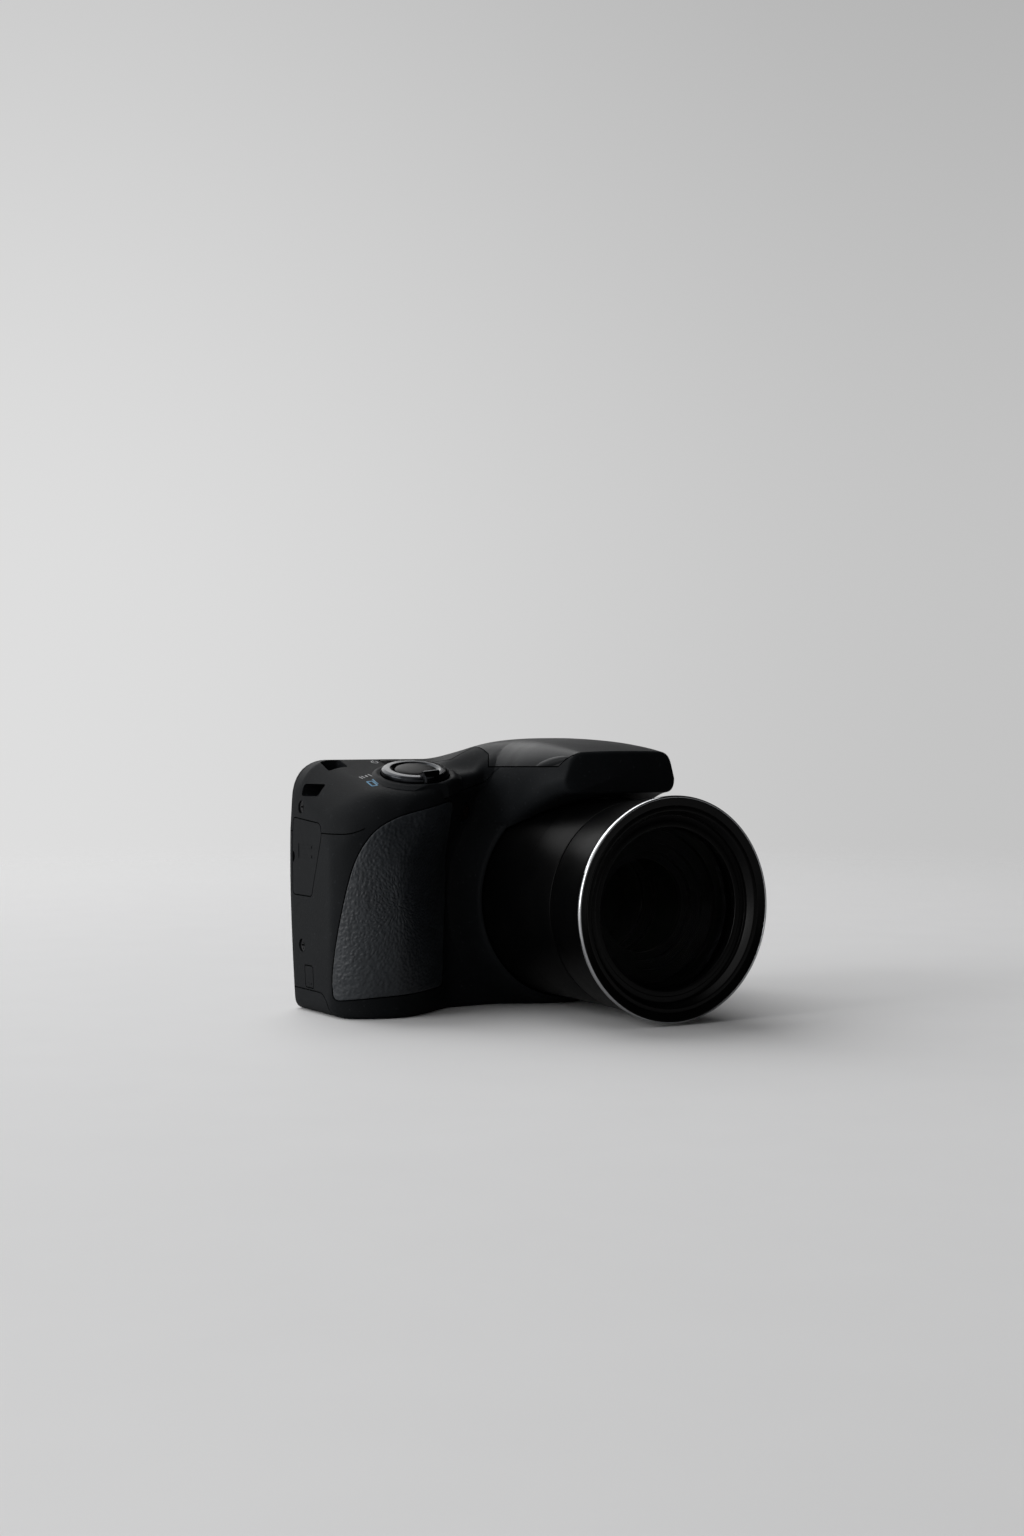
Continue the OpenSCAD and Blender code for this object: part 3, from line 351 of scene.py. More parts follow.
def block(name, x0, z0, x1, z1, axis, low, high, cut=0):
    return prism(name, box_outline(x0, z0, x1, z1, cut), axis, low, high)


def rod(name, x, z, radius, axis, low, high, count=48):
    return prism(name, circle(x, z, radius, count), axis, low, high)


LENS_Z = 28.1
LENS_AXIS, ORIGIN = (0, 0, LENS_Z), (0, 0, 0)


def lathe(name, profile, steps=128, axis="y", centre=LENS_AXIS):
    """A profile of (radius, place along the axis) turned about that axis."""
    clear()
    bpy.ops.mesh.primitive_circle_add(vertices=len(profile), fill_type="NOTHING")
    piece = named(name)
    x0, y0, z0 = centre
    for corner, (radius, along) in zip(piece.data.vertices, profile):
        corner.co = (x0 + radius, y0 + along, z0) if axis == "y" else (x0 + radius, y0, z0 + along)
    all_points()
    bpy.ops.mesh.spin(steps=steps, angle=2 * math.pi, center=centre, axis=(0, axis == "y", axis == "z"))
    bpy.ops.object.mode_set(mode="OBJECT")
    return closed(piece, 1e-3)


def twin(piece, name):
    """A copy with its own mesh."""
    copy = piece.copy()
    copy.data = piece.data.copy()
    copy.name = copy.data.name = name
    bpy.context.collection.objects.link(copy)
    return copy


def carve(piece, *tools, how="DIFFERENCE", keep=False):
    """Cuts, joins or crosses a piece with other solids, which are used up."""
    for tool in tools:
        pick(piece)
        step = piece.modifiers.new("carve", "BOOLEAN")
        step.operation, step.solver, step.object = how, "MANIFOLD", tool
        bpy.ops.object.modifier_apply(modifier="carve")
        if not keep:
            bpy.data.objects.remove(tool)
    return piece


def join(piece, *others):
    return carve(piece, *others, how="UNION")


def cross(piece, *others, keep=False):
    return carve(piece, *others, how="INTERSECT", keep=keep)


def move(piece, matrix):
    piece.data.transform(matrix)
    return piece


# %% [markdown]
# A finished piece goes from millimetres to metres, gets smooth shading that stops
# at real edges, and is told its finish, the body it rides on and the solids that
# it stands for.

# %% Fitting a piece
def fit(piece, material, body, slot, *nodes, angle=30):
    pick(piece)
    piece.data.transform(Matrix.Scale(0.001, 4))
    bpy.ops.object.shade_smooth_by_angle(angle=math.radians(angle))
    piece.data.materials.clear()
    piece.data.materials.append(material)
    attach(piece, body)
    if nodes:
        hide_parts(*nodes)
    print("made", piece.name, len(piece.data.vertices), "points")
    return piece


# %% [markdown]
# ## The form of the body
# The body is one smooth swelling form: a flat back, a deck that falls forwards, a
# hump over the lens and a grip that swells out under the fingers. No primitive
# comes near it, so its side-view sections are worked out from a few curves, the
# same ones as in the solids, and a loft is drawn through them, only much finer.

# %% Curves of the body
def unit(t):
    return min(1.0, max(0.0, t))


def ease(t):
    return unit(t) ** 2 * (3 - 2 * unit(t))


def joined(a, b, k):
    """The larger of two heights, with a fillet where they meet."""
    return max(a, b) + max(k - abs(a - b), 0) ** 2 / (4 * k)


def oval(d, r):
    """How far a quarter oval of radii r has fallen away at a distance d from its end."""
    return 0.0 if d >= r[0] else r[1] * (1 - math.sqrt(max(0.0, 1 - (1 - max(d, 0) / r[0]) ** 2)))


GRIP_X, FAR_X, FACE_Y, RECESS_Y, PLATE_Y = -66.5, 37.9, 7.3, -15.0, -50.0
HUMP_Z, DECK_Z, SHOULDER_Z, DECK_LEN, NOSE_LEN = 69.1, 63.6, 60.0, 26.0, 35.0
FOOT, BACK_EDGE = 1.8, 3.5


def front_at(x, z):
    root = -31 + 8 * ease((z - 38) / 17)
    reach = 11 + 3 * math.sin(math.pi * unit((z - 3) / 62))
    brow = 6 * ease((z - 53) / 7) * ease((33 - abs(x)) / 9)
    return RECESS_Y - brow - reach * math.sin(math.pi / 2 * unit((root - x) / 22)) ** 1.25


def ridge_at(y):
    return HUMP_Z - (0.0026 if y < -15 else 0.008) * (y + 15) ** 2


def deck_at(x, y):
    return DECK_Z - max(0, -y / DECK_LEN) * (7.5 - 0.155 * (x + 48))


def top_at(x, y):
    flat = deck_at(x, y) if x < 0 else SHOULDER_Z - 3 * unit((x - 14) / 24) ** 2 - 3 * unit(-y / DECK_LEN)
    hump = ridge_at(y) - 0.000129 * (abs(x) * (1 + 0.45 * ease((-8 - y) / 14))) ** 3.2
    return joined(flat, hump, 3.5)


def lean(z):
    return 1 - 0.022 * unit((35 - z) / 35) ** 1.5 - 0.013 * unit((z - 45) / 15)


# %% Sections of the body
def section(x, w, fine):
    near, far = x - GRIP_X - w, FAR_X - w - x

    def less(a, b):
        return (max(a - w, 0.8), max(b - w, 0.8))

    push = oval(near, less(16, 10.5)) + oval(far, less(10, 9))
    base = w + oval(near, less(3, 3)) + oval(far, less(3, 3))
    rear = FACE_Y - w - oval(near, less(4, 4)) - oval(far, less(4, 4))

    def front(z):
        return front_at(x, z) + w + push

    def top(y):
        more = 9 + 4 * unit(-y / DECK_LEN)
        return top_at(x, y) - w - oval(near, less(more, more)) - oval(far, less(10, 9))

    lip_y = front(top(front(57)))
    lip_z, back_z = top(lip_y), top(rear)
    n = max(3, round(12 * fine))
    cut = 2.2 + 3 * ease((33 - abs(x)) / 9) + 4 * ease((-46 - x) / 9)
    foot, brink, lip = base + FOOT, rear - BACK_EDGE, lip_y + cut
    ring = bend((front(foot), foot), (front(base), base), (front(base) + FOOT, base), n // 2)
    ring += [(y, base) for y in inside(front(base) + FOOT, rear - FOOT, n)]
    ring += bend((rear - FOOT, base), (rear, base), (rear, foot), n // 2)
    ring += [(rear, z) for z in inside(foot, back_z - BACK_EDGE, n)]
    ring += bend((rear, back_z - BACK_EDGE), (rear, back_z), (brink, top(brink)), n)
    ring += [(y, top(y)) for y in inside(brink, lip, 4 * n)]
    ring += bend((lip, top(lip)), (lip_y, lip_z), (front(lip_z - cut), lip_z - cut), n)
    ring += [(front(z), z) for z in inside(lip_z - cut, foot, 4 * n)]
    return ring


def leaned(x, ring):
    return [(x * lean(z), y, z) for y, z in ring]


def end_rings(x, ring):
    """The flat end of the form, as rings that shrink to its middle."""
    y0, z0 = (sum(p[i] for p in ring) / len(ring) for i in (0, 1))
    return [leaned(x, [(y0 + (y - y0) * s, z0 + (z - z0) * s) for y, z in ring])
            for s in (0.02, 0.2, 0.4, 0.6, 0.78, 0.92)]


def body_form(name, w, fine=1.0):
    a, b = GRIP_X + w, FAR_X - w
    count = max(4, round(12 * fine))
    turns = [math.radians(75 * i / count) for i in range(count + 1)]
    grip_end = [a + 12 * (1 - math.cos(t)) for t in turns]
    far_end = [b - 9 * (1 - math.cos(t)) for t in reversed(turns)]
    places = grip_end + inside(grip_end[-1], far_end[0], round(84 * fine)) + far_end
    sections = [section(x, w, fine) for x in places]
    rings = [leaned(x, s) for x, s in zip(places, sections)]
    return loft(name, end_rings(a, sections[0]) + rings + end_rings(b, sections[-1])[::-1])


# %% [markdown]
# The nose carries the flash over the lens. It is a second loft, from its front
# plate back into the hump, with sections seen from the front. The plate is bowed a
# little, wider below than above, and its corners soften towards the back.

# %% Nose
def bow(x, y):
    return 2 * (x / 15.7) ** 2 * (1 - unit((y - PLATE_Y) / NOSE_LEN)) ** 2


def nose_ring(y, w, fine):
    back = unit((y - PLATE_Y) / NOSE_LEN)
    deep = y - PLATE_Y
    half = 16.6 + 3 * unit(deep / 26) ** 0.9 + 6 * unit((deep - 22) / 16) ** 2.2 - w
    corner = half - 2.2 * (1 - back) ** 1.2
    sunk = w + 0.6 * max(0, y - RECESS_Y - 1.5)

    def crown(x):
        fall = (0.25 + 0.75 * back ** 0.7) * 0.00165 * abs(x) ** 2.45
        return ridge_at(y) - sunk - fall

    r_low, r_top = 3.4 + 0.1 * back, 3 + 8.6 * back ** 1.2
    low = 55.5 - 16 * back ** 1.6 + w
    foot, side = Vector((half, low + r_low)), Vector((corner, crown(corner)))
    turn_in = side.lerp(foot, min(0.9, r_top / (side.y - foot.y)))
    n = max(4, round(10 * fine))
    right = bend((half - r_low, low), (half, low), foot, n)
    right += [tuple(foot.lerp(turn_in, i / (n // 2 + 1))) for i in range(1, n // 2 + 1)]
    right += bend(turn_in, side, (corner - r_top, crown(corner - r_top)), n)
    right += [(x, crown(x)) for x in inside(corner - r_top, 0, n)]
    ring = right + [(0, crown(0))] + [(-x, z) for x, z in reversed(right)]
    return [(x, y + bow(x, y), z) for x, z in ring]


def nose_form(name, w, fine=1.0):
    edge, plate = 0.7, PLATE_Y + w
    turns = [math.radians(90 * i / 6) for i in range(7)]
    rings = [nose_ring(plate + edge * (1 - math.sin(t)), w + edge * (1 - math.cos(t)), fine)
             for t in reversed(turns)]
    cap = [[(x * s, plate + bow(x * s, PLATE_Y), 60.7 + (z - 60.7) * s) for x, y, z in rings[0]]
           for s in (0.01, 0.2, 0.4, 0.6, 0.8, 0.93)]
    rings += [nose_ring(y, w, fine) for y in inside(plate + edge, RECESS_Y + 5, round(44 * fine))]
    return loft(name, cap + rings + [nose_ring(RECESS_Y + 5, w, fine)])


def case_form(name, w, fine=1.0):
    return join(body_form(name, w, fine), nose_form("nose", w, fine))


WALL, SEAM = 1.6, 0.3
case = case_form("case_form", 0)
shell = carve(twin(case, "shell_form"), case_form("hollow", WALL, 0.5))
print("case", len(case.data.vertices), "shell", len(shell.data.vertices))


# %% [markdown]
# ## Finishes
# The camera is black nearly all over, so what tells its pieces apart is their
# surface: a fine spark-eroded grain on the covers, leather grain on the grip, a
# satin lens barrel, polished rings and glass. Each finish mixes two near blacks,
# lets the gloss wander as handling does, and has its grain at the real scale.
# Places are in metres, so a noise of scale 4000 has a quarter-millimetre grain.

# %% Moulded and rubber finishes
def moulded(name, dark, pale, scale, gloss, depth, strength, gleam=0.5):
    """A moulded plastic: fine grain, faint blotches, a little dust in the grain."""
    def recipe(place):
        grain = place.noise(scale, 3, 0.6)
        blotch = place.noise(90, 2).spread(0.35, 0.7)
        dust = place.noise(scale * 0.45, 1).spread(0.66, 0.80)
        shade = blotch.blend(dark, pale)
        return {"Base Color": (dust * 0.35).blend(shade, tuple(3.2 * c for c in pale)),
                "Roughness": grain * 0.12 + blotch * 0.06 + (gloss - 0.08),
                "Normal": grain.bump(strength, depth)}
    return finish(name, recipe, Specular_IOR_Level=gleam)


cover_black = moulded("cover_black", (0.0098, 0.0108, 0.0120), (0.0129, 0.0141, 0.0155),
                      2300, 0.50, 0.00012, 0.45, 0.05)
lid_black = moulded("lid_black", (0.0110, 0.0120, 0.0132), (0.0145, 0.0156, 0.0170),
                    2300, 0.40, 0.00008, 0.30, 0.14)
flap_black = moulded("flap_black", (0.0105, 0.0114, 0.0126), (0.0138, 0.0149, 0.0163),
                     2600, 0.56, 0.00006, 0.25, 0.06)
door_black = moulded("door_black", (0.0108, 0.0118, 0.0131), (0.0142, 0.0154, 0.0169),
                     2600, 0.50, 0.00010, 0.40, 0.05)
key_black = moulded("key_black", (0.0060, 0.0062, 0.0066), (0.0080, 0.0083, 0.0088),
                    5200, 0.42, 0.00004, 0.20, 0.1)
inner_black = moulded("inner_black", (0.0025, 0.0025, 0.0027), (0.0040, 0.0040, 0.0042),
                      2400, 0.62, 0.00008, 0.25, 0.2)


def leather_recipe(place):
    pebble = place.cells(1300, "SMOOTH_F1")
    pore = place.noise(5200, 3, 0.65)
    blotch = place.noise(120, 2).spread(0.3, 0.7)
    return {"Base Color": blotch.blend((0.0240, 0.0277, 0.0322), (0.0318, 0.0365, 0.0420)),
            "Roughness": pore * 0.16 + blotch * 0.05 + 0.30,
            "Normal": pore.bump(0.35, 0.00008, pebble.bump(0.45, 0.00016))}


grip_leather = finish("grip_leather", leather_recipe)


# %% [markdown]
# Turned pieces carry the faint rings that a lathe or a brush leaves, so their
# grain is a noise stretched round the lens axis: only the distance from the axis
# and the place along it go into it.

# %% Turned and polished finishes
def rings_about_lens(place, scale):
    x, y, z = place.axes()
    far = (x * x + (z - LENS_Z / 1000) * (z - LENS_Z / 1000)) ** 0.5
    return place.add("ShaderNodeCombineXYZ", {}, {0: far, 1: y, 2: x * 0.02}).noise(scale)


def barrel(name, dark, pale, gloss, gleam):
    def recipe(place):
        ring, grain = rings_about_lens(place, 5200), place.noise(6200, 2)
        blotch = place.noise(70, 2).spread(0.35, 0.7)
        return {"Base Color": blotch.blend(dark, pale),
                "Roughness": grain * 0.10 + blotch * 0.05 + ring * 0.05 + gloss,
                "Normal": grain.bump(0.14, 0.00004, ring.bump(0.10, 0.00003))}
    return finish(name, recipe, Specular_IOR_Level=gleam)


sleeve_black = barrel("sleeve_black", (0.0012, 0.0012, 0.0013), (0.0018, 0.0018, 0.0019), 0.26, 0.05)
collar_black = barrel("collar_black", (0.0012, 0.0012, 0.0013), (0.0018, 0.0018, 0.0019), 0.22, 0.05)
bezel_black = barrel("bezel_black", (0.0014, 0.0014, 0.0015), (0.0020, 0.0020, 0.0021), 0.14, 0.3)
baffle_black = barrel("baffle_black", (0.0022, 0.0022, 0.0023), (0.0034, 0.0034, 0.0035), 0.46, 0.15)


def chrome_recipe(place):
    ring, smudge = rings_about_lens(place, 9000), place.noise(160, 3).spread(0.35, 0.75)
    return {"Base Color": smudge.blend((0.80, 0.81, 0.83), (0.70, 0.71, 0.73)),
            "Roughness": ring * 0.06 + smudge * 0.07 + 0.09, "Normal": ring.bump(0.05, 0.00002)}


chrome = finish("polished_chrome", chrome_recipe, Metallic=1.0)


def polished(name, dark, pale, gloss, metal=0.0):
    def recipe(place):
        smudge = place.noise(700, 3).spread(0.3, 0.75)
        grain = place.noise(9000, 2)
        return {"Base Color": smudge.blend(dark, pale), "Roughness": smudge * 0.08 + grain * 0.05 + gloss,
                "Normal": grain.bump(0.05, 0.00002)}
    return finish(name, recipe, Metallic=metal)


gun_metal = polished("gun_metal", (0.032, 0.034, 0.037), (0.046, 0.048, 0.052), 0.12, 1.0)
steel = polished("bright_steel", (0.48, 0.48, 0.49), (0.60, 0.60, 0.61), 0.26, 1.0)
brass = polished("plated_bush", (0.40, 0.40, 0.41), (0.52, 0.51, 0.50), 0.30, 1.0)
dark_screw = polished("dark_screw", (0.022, 0.022, 0.024), (0.040, 0.040, 0.043), 0.30, 0.6)
gloss_black = polished("gloss_black", (0.004, 0.004, 0.0045), (0.0065, 0.0065, 0.007), 0.10)
mirror = polished("flash_mirror", (0.80, 0.80, 0.82), (0.88, 0.88, 0.90), 0.10, 1.0)
white_print = polished("white_print", (0.38, 0.39, 0.40), (0.46, 0.47, 0.48), 0.45)
blue_print = polished("blue_print", (0.060, 0.230, 0.400), (0.075, 0.270, 0.450), 0.45)
battery_grey = moulded("battery_grey", (0.030, 0.031, 0.033), (0.042, 0.043, 0.045), 3000, 0.42, 0.00005, 0.2)
card_blue = moulded("card_blue", (0.010, 0.024, 0.085), (0.014, 0.032, 0.105), 3000, 0.40, 0.00004, 0.2)
latch_orange = moulded("latch_orange", (0.52, 0.17, 0.015), (0.60, 0.21, 0.02), 2600, 0.42, 0.00004, 0.2)
grey_plastic = moulded("grey_plastic", (0.055, 0.056, 0.060), (0.080, 0.081, 0.086), 2600, 0.46, 0.00005, 0.2)


# %% [markdown]
# Glass bends light, so it needs a real shape behind its front: the lens is a solid
# dome and the flash window a ribbed plate. A coated lens hardly mirrors, and its
# glass is given a low index, so that the eye looks past it into the dark barrel.

# %% Glass and boards
def glass_recipe(place):
    return {"Roughness": place.noise(300, 2).spread(0.45, 0.8, 0.005, 0.03)}


def glassy(name, tint, clear_share, index):
    return finish(name, glass_recipe, Base_Color=tint, Transmission_Weight=clear_share, IOR=index)


lens_glass = glassy("lens_glass", (0.80, 0.82, 0.85), 1.0, 1.12)
flash_glass = glassy("flash_glass", (0.95, 0.96, 0.97), 0.85, 1.45)
lamp_glass = glassy("lamp_glass", (0.012, 0.006, 0.005), 0.2, 1.46)


def display_recipe(place):
    x, y, z = place.axes()
    shown = abs(x - 0.002).under(0.0293) * abs(z - 0.031).under(0.0220)
    smear = place.noise(60, 4, 0.6).spread(0.45, 0.75)
    return {"Base Color": shown.blend((0.0035, 0.0035, 0.0038), (0.0075, 0.0080, 0.0090)),
            "Roughness": smear * 0.10 + 0.05}


display_glass = finish("display_glass", display_recipe, Coat_Weight=0.6, Coat_Roughness=0.03)


def board_recipe(place):
    track = place.cells(900, "DISTANCE_TO_EDGE").under(0.05)
    return {"Base Color": track.blend((0.012, 0.085, 0.040), (0.020, 0.130, 0.060)),
            "Roughness": place.noise(1500, 2) * 0.15 + 0.30, "Normal": track.bump(0.2, 0.00005)}


board_green = finish("board_green", board_recipe)


def sensor_recipe(place):
    x, y, z = place.axes()
    tint = (x * 160 + z * 140).spread(1.5, 6.0)
    return {"Base Color": tint.blend((0.06, 0.04, 0.11), (0.03, 0.10, 0.11)),
            "Roughness": place.noise(900, 1) * 0.06 + 0.08}


sensor_face = finish("sensor_face", sensor_recipe)
print("finishes", len(bpy.data.materials))


# %% [markdown]
# ## The covers
# On the real camera three mouldings close the body: a front with the grip and the
# lens collar, a top with the deck, and a rear with the display. They are cut from
# one shell, so that their seams run on without a step, with a gap of 0.3 mm.

# %% Seams and openings
def seam_at(x):
    t = x + 63.8
    return 45.5 + 2.6 * ease((t + 0.7) / 12) + 0.115 * (t + math.sqrt(t * t + 2)) + 5 * ease((x + 23) / 6)


def above_seam(gap):
    xs = [-68.5 + 51.5 * i / 60 for i in range(61)]
    line = [(x, seam_at(x) + gap) for x in xs]
    return prism("above_seam", line + [(-17, 79.1), (-68.5, 79.1)], "y", -26, 24)


def behind_seam(gap):
    back = block("behind_seam", -86.5, -5, 57.9, 89.1, "y", 4 - gap, 34)
    over = [(-35, 7), (-35, 4), (-27.5, -9.5), (27.5, -9.5), (35, 4), (35, 7)]
    return join(back, prism("over_hump", grow(over, gap), "z", 56.5, 125.6))


def lid_space(gap):
    sides = [(-60, 79.1), (-60, 65.2), (-47.4, 65.2), (-44.3, 62.4), (-9.5, 61.8), (-9.5, 79.1)]
    half, wide = 19.6 + gap, 23 + gap
    space = prism("lid_space", grow(sides, gap), "x", -wide, wide)
    join(space, rod("lid_roll", -9.5, 64.5, 4.4 + 2 * gap, "x", -half, half, 64))
    tip = [(x, PLATE_Y + 0.8 - gap + bow(x, PLATE_Y)) for x in inside(18, -18, 24)]
    plan = [(-wide, -40), (-wide, -22), (-half, -16), (-half, 0)]
    plan += [(-x, y) for x, y in reversed(plan)]
    return cross(space, prism("lid_plan", plan + tip, "z", 0, 89))


TERMINAL = soft([(2.6, 49), (-12.9, 47.9), (-14, 45.2), (-8.2, 29.7), (2.6, 29.7)], 1.2)
COUPLER = box_outline(-7.2, 6.5, -2.8, 11.8, 0.6)
DOOR = bend((-10.5, 5.6), (-14.8, 5.6), (-16.4, -2), 10) + [(3.85, -2), (3.85, 5.6)]
DOOR_AXIS = (-41, 0.9)


def door_space(gap):
    space = prism("door_space", grow(DOOR, gap), "x", GRIP_X - 3, -40 + 2 * gap)
    plan = block("door_plan", GRIP_X - 3, -30, -43 + gap, 20, "z", -3, 10)
    join(plan, block("door_side", GRIP_X - 4, -15 - gap, -41, 21, "z", -4, 11))
    join(plan, rod("door_knuckle", *DOOR_AXIS, 0.9 + 2 * gap, "y", -15 - gap, 20, 24))
    return cross(space, plan)


def strap_slots():
    side = block("slot", -8.6, 54.6, -1.3, 57.7, "x", -69.5, -56.9, 0.9)
    join(side, block("slot_up", -60, -5.2, -54.6, 0.7, "z", 55.7, 71.7, 1))
    far = block("slot_far", -13.5, 48.9, -2.5, 51.8, "x", 30.9, 40.9, 1.2)
    join(far, block("slot_far_up", 27.3, -11.5, 33.3, -4.5, "z", 49.5, 63.5, 1.4))
    return join(side, far)


def strap_bars():
    bars = block("strap_bar", GRIP_X, -10.2, -53.2, 2.3, "z", 54.2, 66)
    join(bars, block("strap_bar_far", 33.1, -14, FAR_X, -2, "z", 51.3, 60))
    return cross(bars, case, keep=True)


SCREWS = [(-1, 16.8), (-1, 51.8), (1, 12), (1, 40)]


def screw_holes(side):
    ends = (GRIP_X - 2, GRIP_X + 6.5) if side < 0 else (FAR_X - 3, FAR_X + 2)
    return [prism("screw_hole", circle(-1.5, z, 1.65, 32), "x", *ends) for s, z in SCREWS if s == side]


SKIN_CORNERS = [(-26.3, 6.2), (-54.9, 4.5), (-24.5, 53.7)]
SKIN = [(-26.3, 6.2), (-31.1, 6.1), (-37.5, 5.9), (-43.7, 5.6), (-49.5, 5.1), (-54.9, 4.5), (-55.3, 10),
        (-54.8, 16.3), (-54.1, 22), (-53, 28.4), (-51.9, 33.7), (-50.6, 38.3), (-49, 41.8), (-47.5, 44.1),
        (-45.4, 46.6), (-42.5, 48.5), (-39.4, 49.9), (-36.1, 50.8), (-32.6, 51.6), (-29, 52.4), (-24.5, 53.7)]
SKIN = soft([(*p, 1.5 if p in SKIN_CORNERS else 9) for p in SKIN], steps=6)
SKIN_TURN = Matrix.Rotation(math.radians(-20), 4, "Z")

# %% [markdown]
# The front cover is the shell with the lens collar joined on, less everything that
# belongs to another piece. The grip's leather is outlined as it is seen from the
# side that it wraps to, 20 degrees off the lens axis, and a shallow pocket takes it.

# %% Front cover
def terminal_hole():
    return prism("terminal_hole", grow(TERMINAL, SEAM), "x", -69.5, -60)


def bush_hole():
    return rod("bush_hole", 0, 0, 5.05, "z", -1, 4)


collar = lathe("lens_collar", soft([(24.9, -23.8), (26.6, -23.8, 0.4), (27.2, -23.2, 0.4), (28.3, -19.8, 2),
                                    (30.3, -16, 2), (33.5, -13.6), (24.9, -13.6)]))
cross(collar, block("collar_limit", -40, 0, 40, 70, "y", -30, 0))
front = join(twin(shell, "front_shell"), strap_bars(), collar)
pocket = carve(body_form("pocket", -3, 0.4), body_form("pocket_floor", 0.8, 0.6))
cross(pocket, move(prism("pocket_side", grow(SKIN, SEAM), "y", -60, -20), SKIN_TURN))
carve(front, lathe("lens_bore", [(0, -77), (26.2, -77), (26.2, -11), (0, -11)]), behind_seam(SEAM / 2),
      above_seam(0), strap_slots(), lid_space(SEAM), door_space(SEAM), pocket)
carve(front, terminal_hole(), prism("coupler_hole", grow(COUPLER, SEAM), "x", -69.5, -60), bush_hole(),
      rod("lamp_hole", -27, 50.5, 2.5, "y", -18, -11),
      rod("pin_hole", *DOOR_AXIS, 0.5, "y", -17.8, 5, 24), *screw_holes(-1), *screw_holes(1))
for k in range(6):
    y, z = (c + 2 * f(math.pi / 3 * k) for c, f in ((-1.6, math.cos), (34, math.sin)))
    carve(front, rod("sound_hole", y, z, 0.5, "x", 34.9, 40.9, 20))
fit(front, cover_black, "camera", "body_plastic", "front_cover")

# %% [markdown]
# The top cover carries the deck. The zoom ring turns in a round recess with a low
# raised rim about it, so a rim is turned on the lathe, tilted to the deck and
# joined on before the recess is bored.

# %% Top cover
DECK = (Matrix.Translation((-41.2, -16, deck_at(-41.2, -16)))
        @ Matrix.Rotation(math.radians(-5.4), 4, "Y") @ Matrix.Rotation(math.radians(13.9), 4, "X"))
LEVER_R, BUTTON_R = 8.6, 5.3


def deck_bore(radius, low, count=72):
    return move(rod("bore", 0, 0, radius, "z", low, 9, count), DECK)


boss = cross(move(rod("boss", 0, 0, LEVER_R + 1.1, "z", -5, 5, 72), DECK), case, keep=True)
top = cross(join(twin(shell, "top_shell"), strap_bars(), boss), above_seam(SEAM))
RIM = [(3.4, -3), (3.2, -0.25), (2.6, 0.05), (2.1, 0.36), (1.7, 0.60), (1.3, 0.70), (0.9, 0.66), (0.3, 0.5)]
rim = [(6, -3)] + [(LEVER_R + out, height) for out, height in RIM] + [(6, 0.5)]
rim = lathe("deck_rim", rim, 96, "z", ORIGIN)
rim = cross(move(rim, DECK), body_form("rim_limit", -0.9, 0.4), above_seam(SEAM))
join(top, carve(rim, body_form("rim_floor", 1.2, 0.4)))
carve(top, behind_seam(SEAM / 2), lid_space(SEAM), deck_bore(LEVER_R + 0.3, -0.9),
      deck_bore(BUTTON_R + 0.3, -3), deck_bore(2.3, -6, 32),
      rod("power_hole", -40.5, -1.8, 3.3, "z", 50, 70), strap_slots(),
      terminal_hole(), *screw_holes(-1))
fit(top, cover_black, "camera", "body_plastic", "top_cover")

# %% [markdown]
# The rear cover has the window of the display, the holes of the keys, two small
# microphone holes on the hump and a field of low dots under the thumb. One dot is
# turned and copied.

# %% Rear cover
KEYS = {"movie": (-55.5, 53.5), "play": (-56, 43), "frame": (-37, 43), "menu": (-56, 10.5)}
PAD = (-47, 26)
rear = cross(twin(shell, "rear_shell"), behind_seam(-SEAM / 2))
carve(rear, lid_space(SEAM), block("window_hole", -29.6, 6.4, 33.6, 55.6, "y", 4, 10, 1.8),
      rod("pad_hole", *PAD, 10.8, "y", 4, 10, 72), bush_hole(),
      *[rod("key_hole", *spot, 3.3, "y", 4, 10) for spot in KEYS.values()],
      *[rod("voice_hole", x, -1.5, 0.5, "z", 55, 75, 20) for x in (-5, 5)])
dot = [(0, 6.9), (0.9, 6.9), (0.9, 7.45), (0.75, 7.75), (0.45, 7.93), (0, 8.0)]
dot = lathe("thumb_dot", dot, 20, "y", ORIGIN)
for i in range(4):
    for j in range(3):
        join(rear, move(twin(dot, "dot"), Matrix.Translation((-49 + 3.4 * i, 0, 49.5 + 3 * j))))
bpy.data.objects.remove(dot)
fit(rear, cover_black, "camera", "body_plastic", "rear_cover")


# %% [markdown]
# ## Lid and doors
# Four pieces open: the flash lid on the hump, the terminal cover and the small
# coupler flap on the grip side, and the battery door under the grip. Each is a
# part of the same shell, cut a little smaller than its hole. The lid has a ledge
# under each side for the fingers, made as a stretched ball.

# %% Flash lid
def ledge(side):
    clear()
    bpy.ops.mesh.primitive_uv_sphere_add(segments=32, ring_count=16, radius=1)
    piece = named("finger_ledge")
    tilt = Matrix.Rotation(math.radians(-12 * side), 4, "Z") @ Matrix.Rotation(math.radians(-12), 4, "X")
    place = Matrix.Translation((15.8 * side, -41, 63))
    return move(piece, place @ tilt @ Matrix.Diagonal((1.2, 6.2, 1.4, 1)))


lid = join(twin(shell, "lid_shell"), ledge(-1), ledge(1))
fit(cross(lid, lid_space(0)), lid_black, "flash", "body_plastic", "flash_lid")

# %% [markdown]
# The terminal cover is a softer black plastic. Its printed words are left off:
# three short raised bars mark where the sockets lie, and a notch at its edge
# takes a fingernail.

# %% Terminal cover and coupler flap
thin = carve(twin(case, "thin_shell"), case_form("thin_hollow", 1.3, 0.5))
proud = body_form("proud_form", -0.12, 0.6)


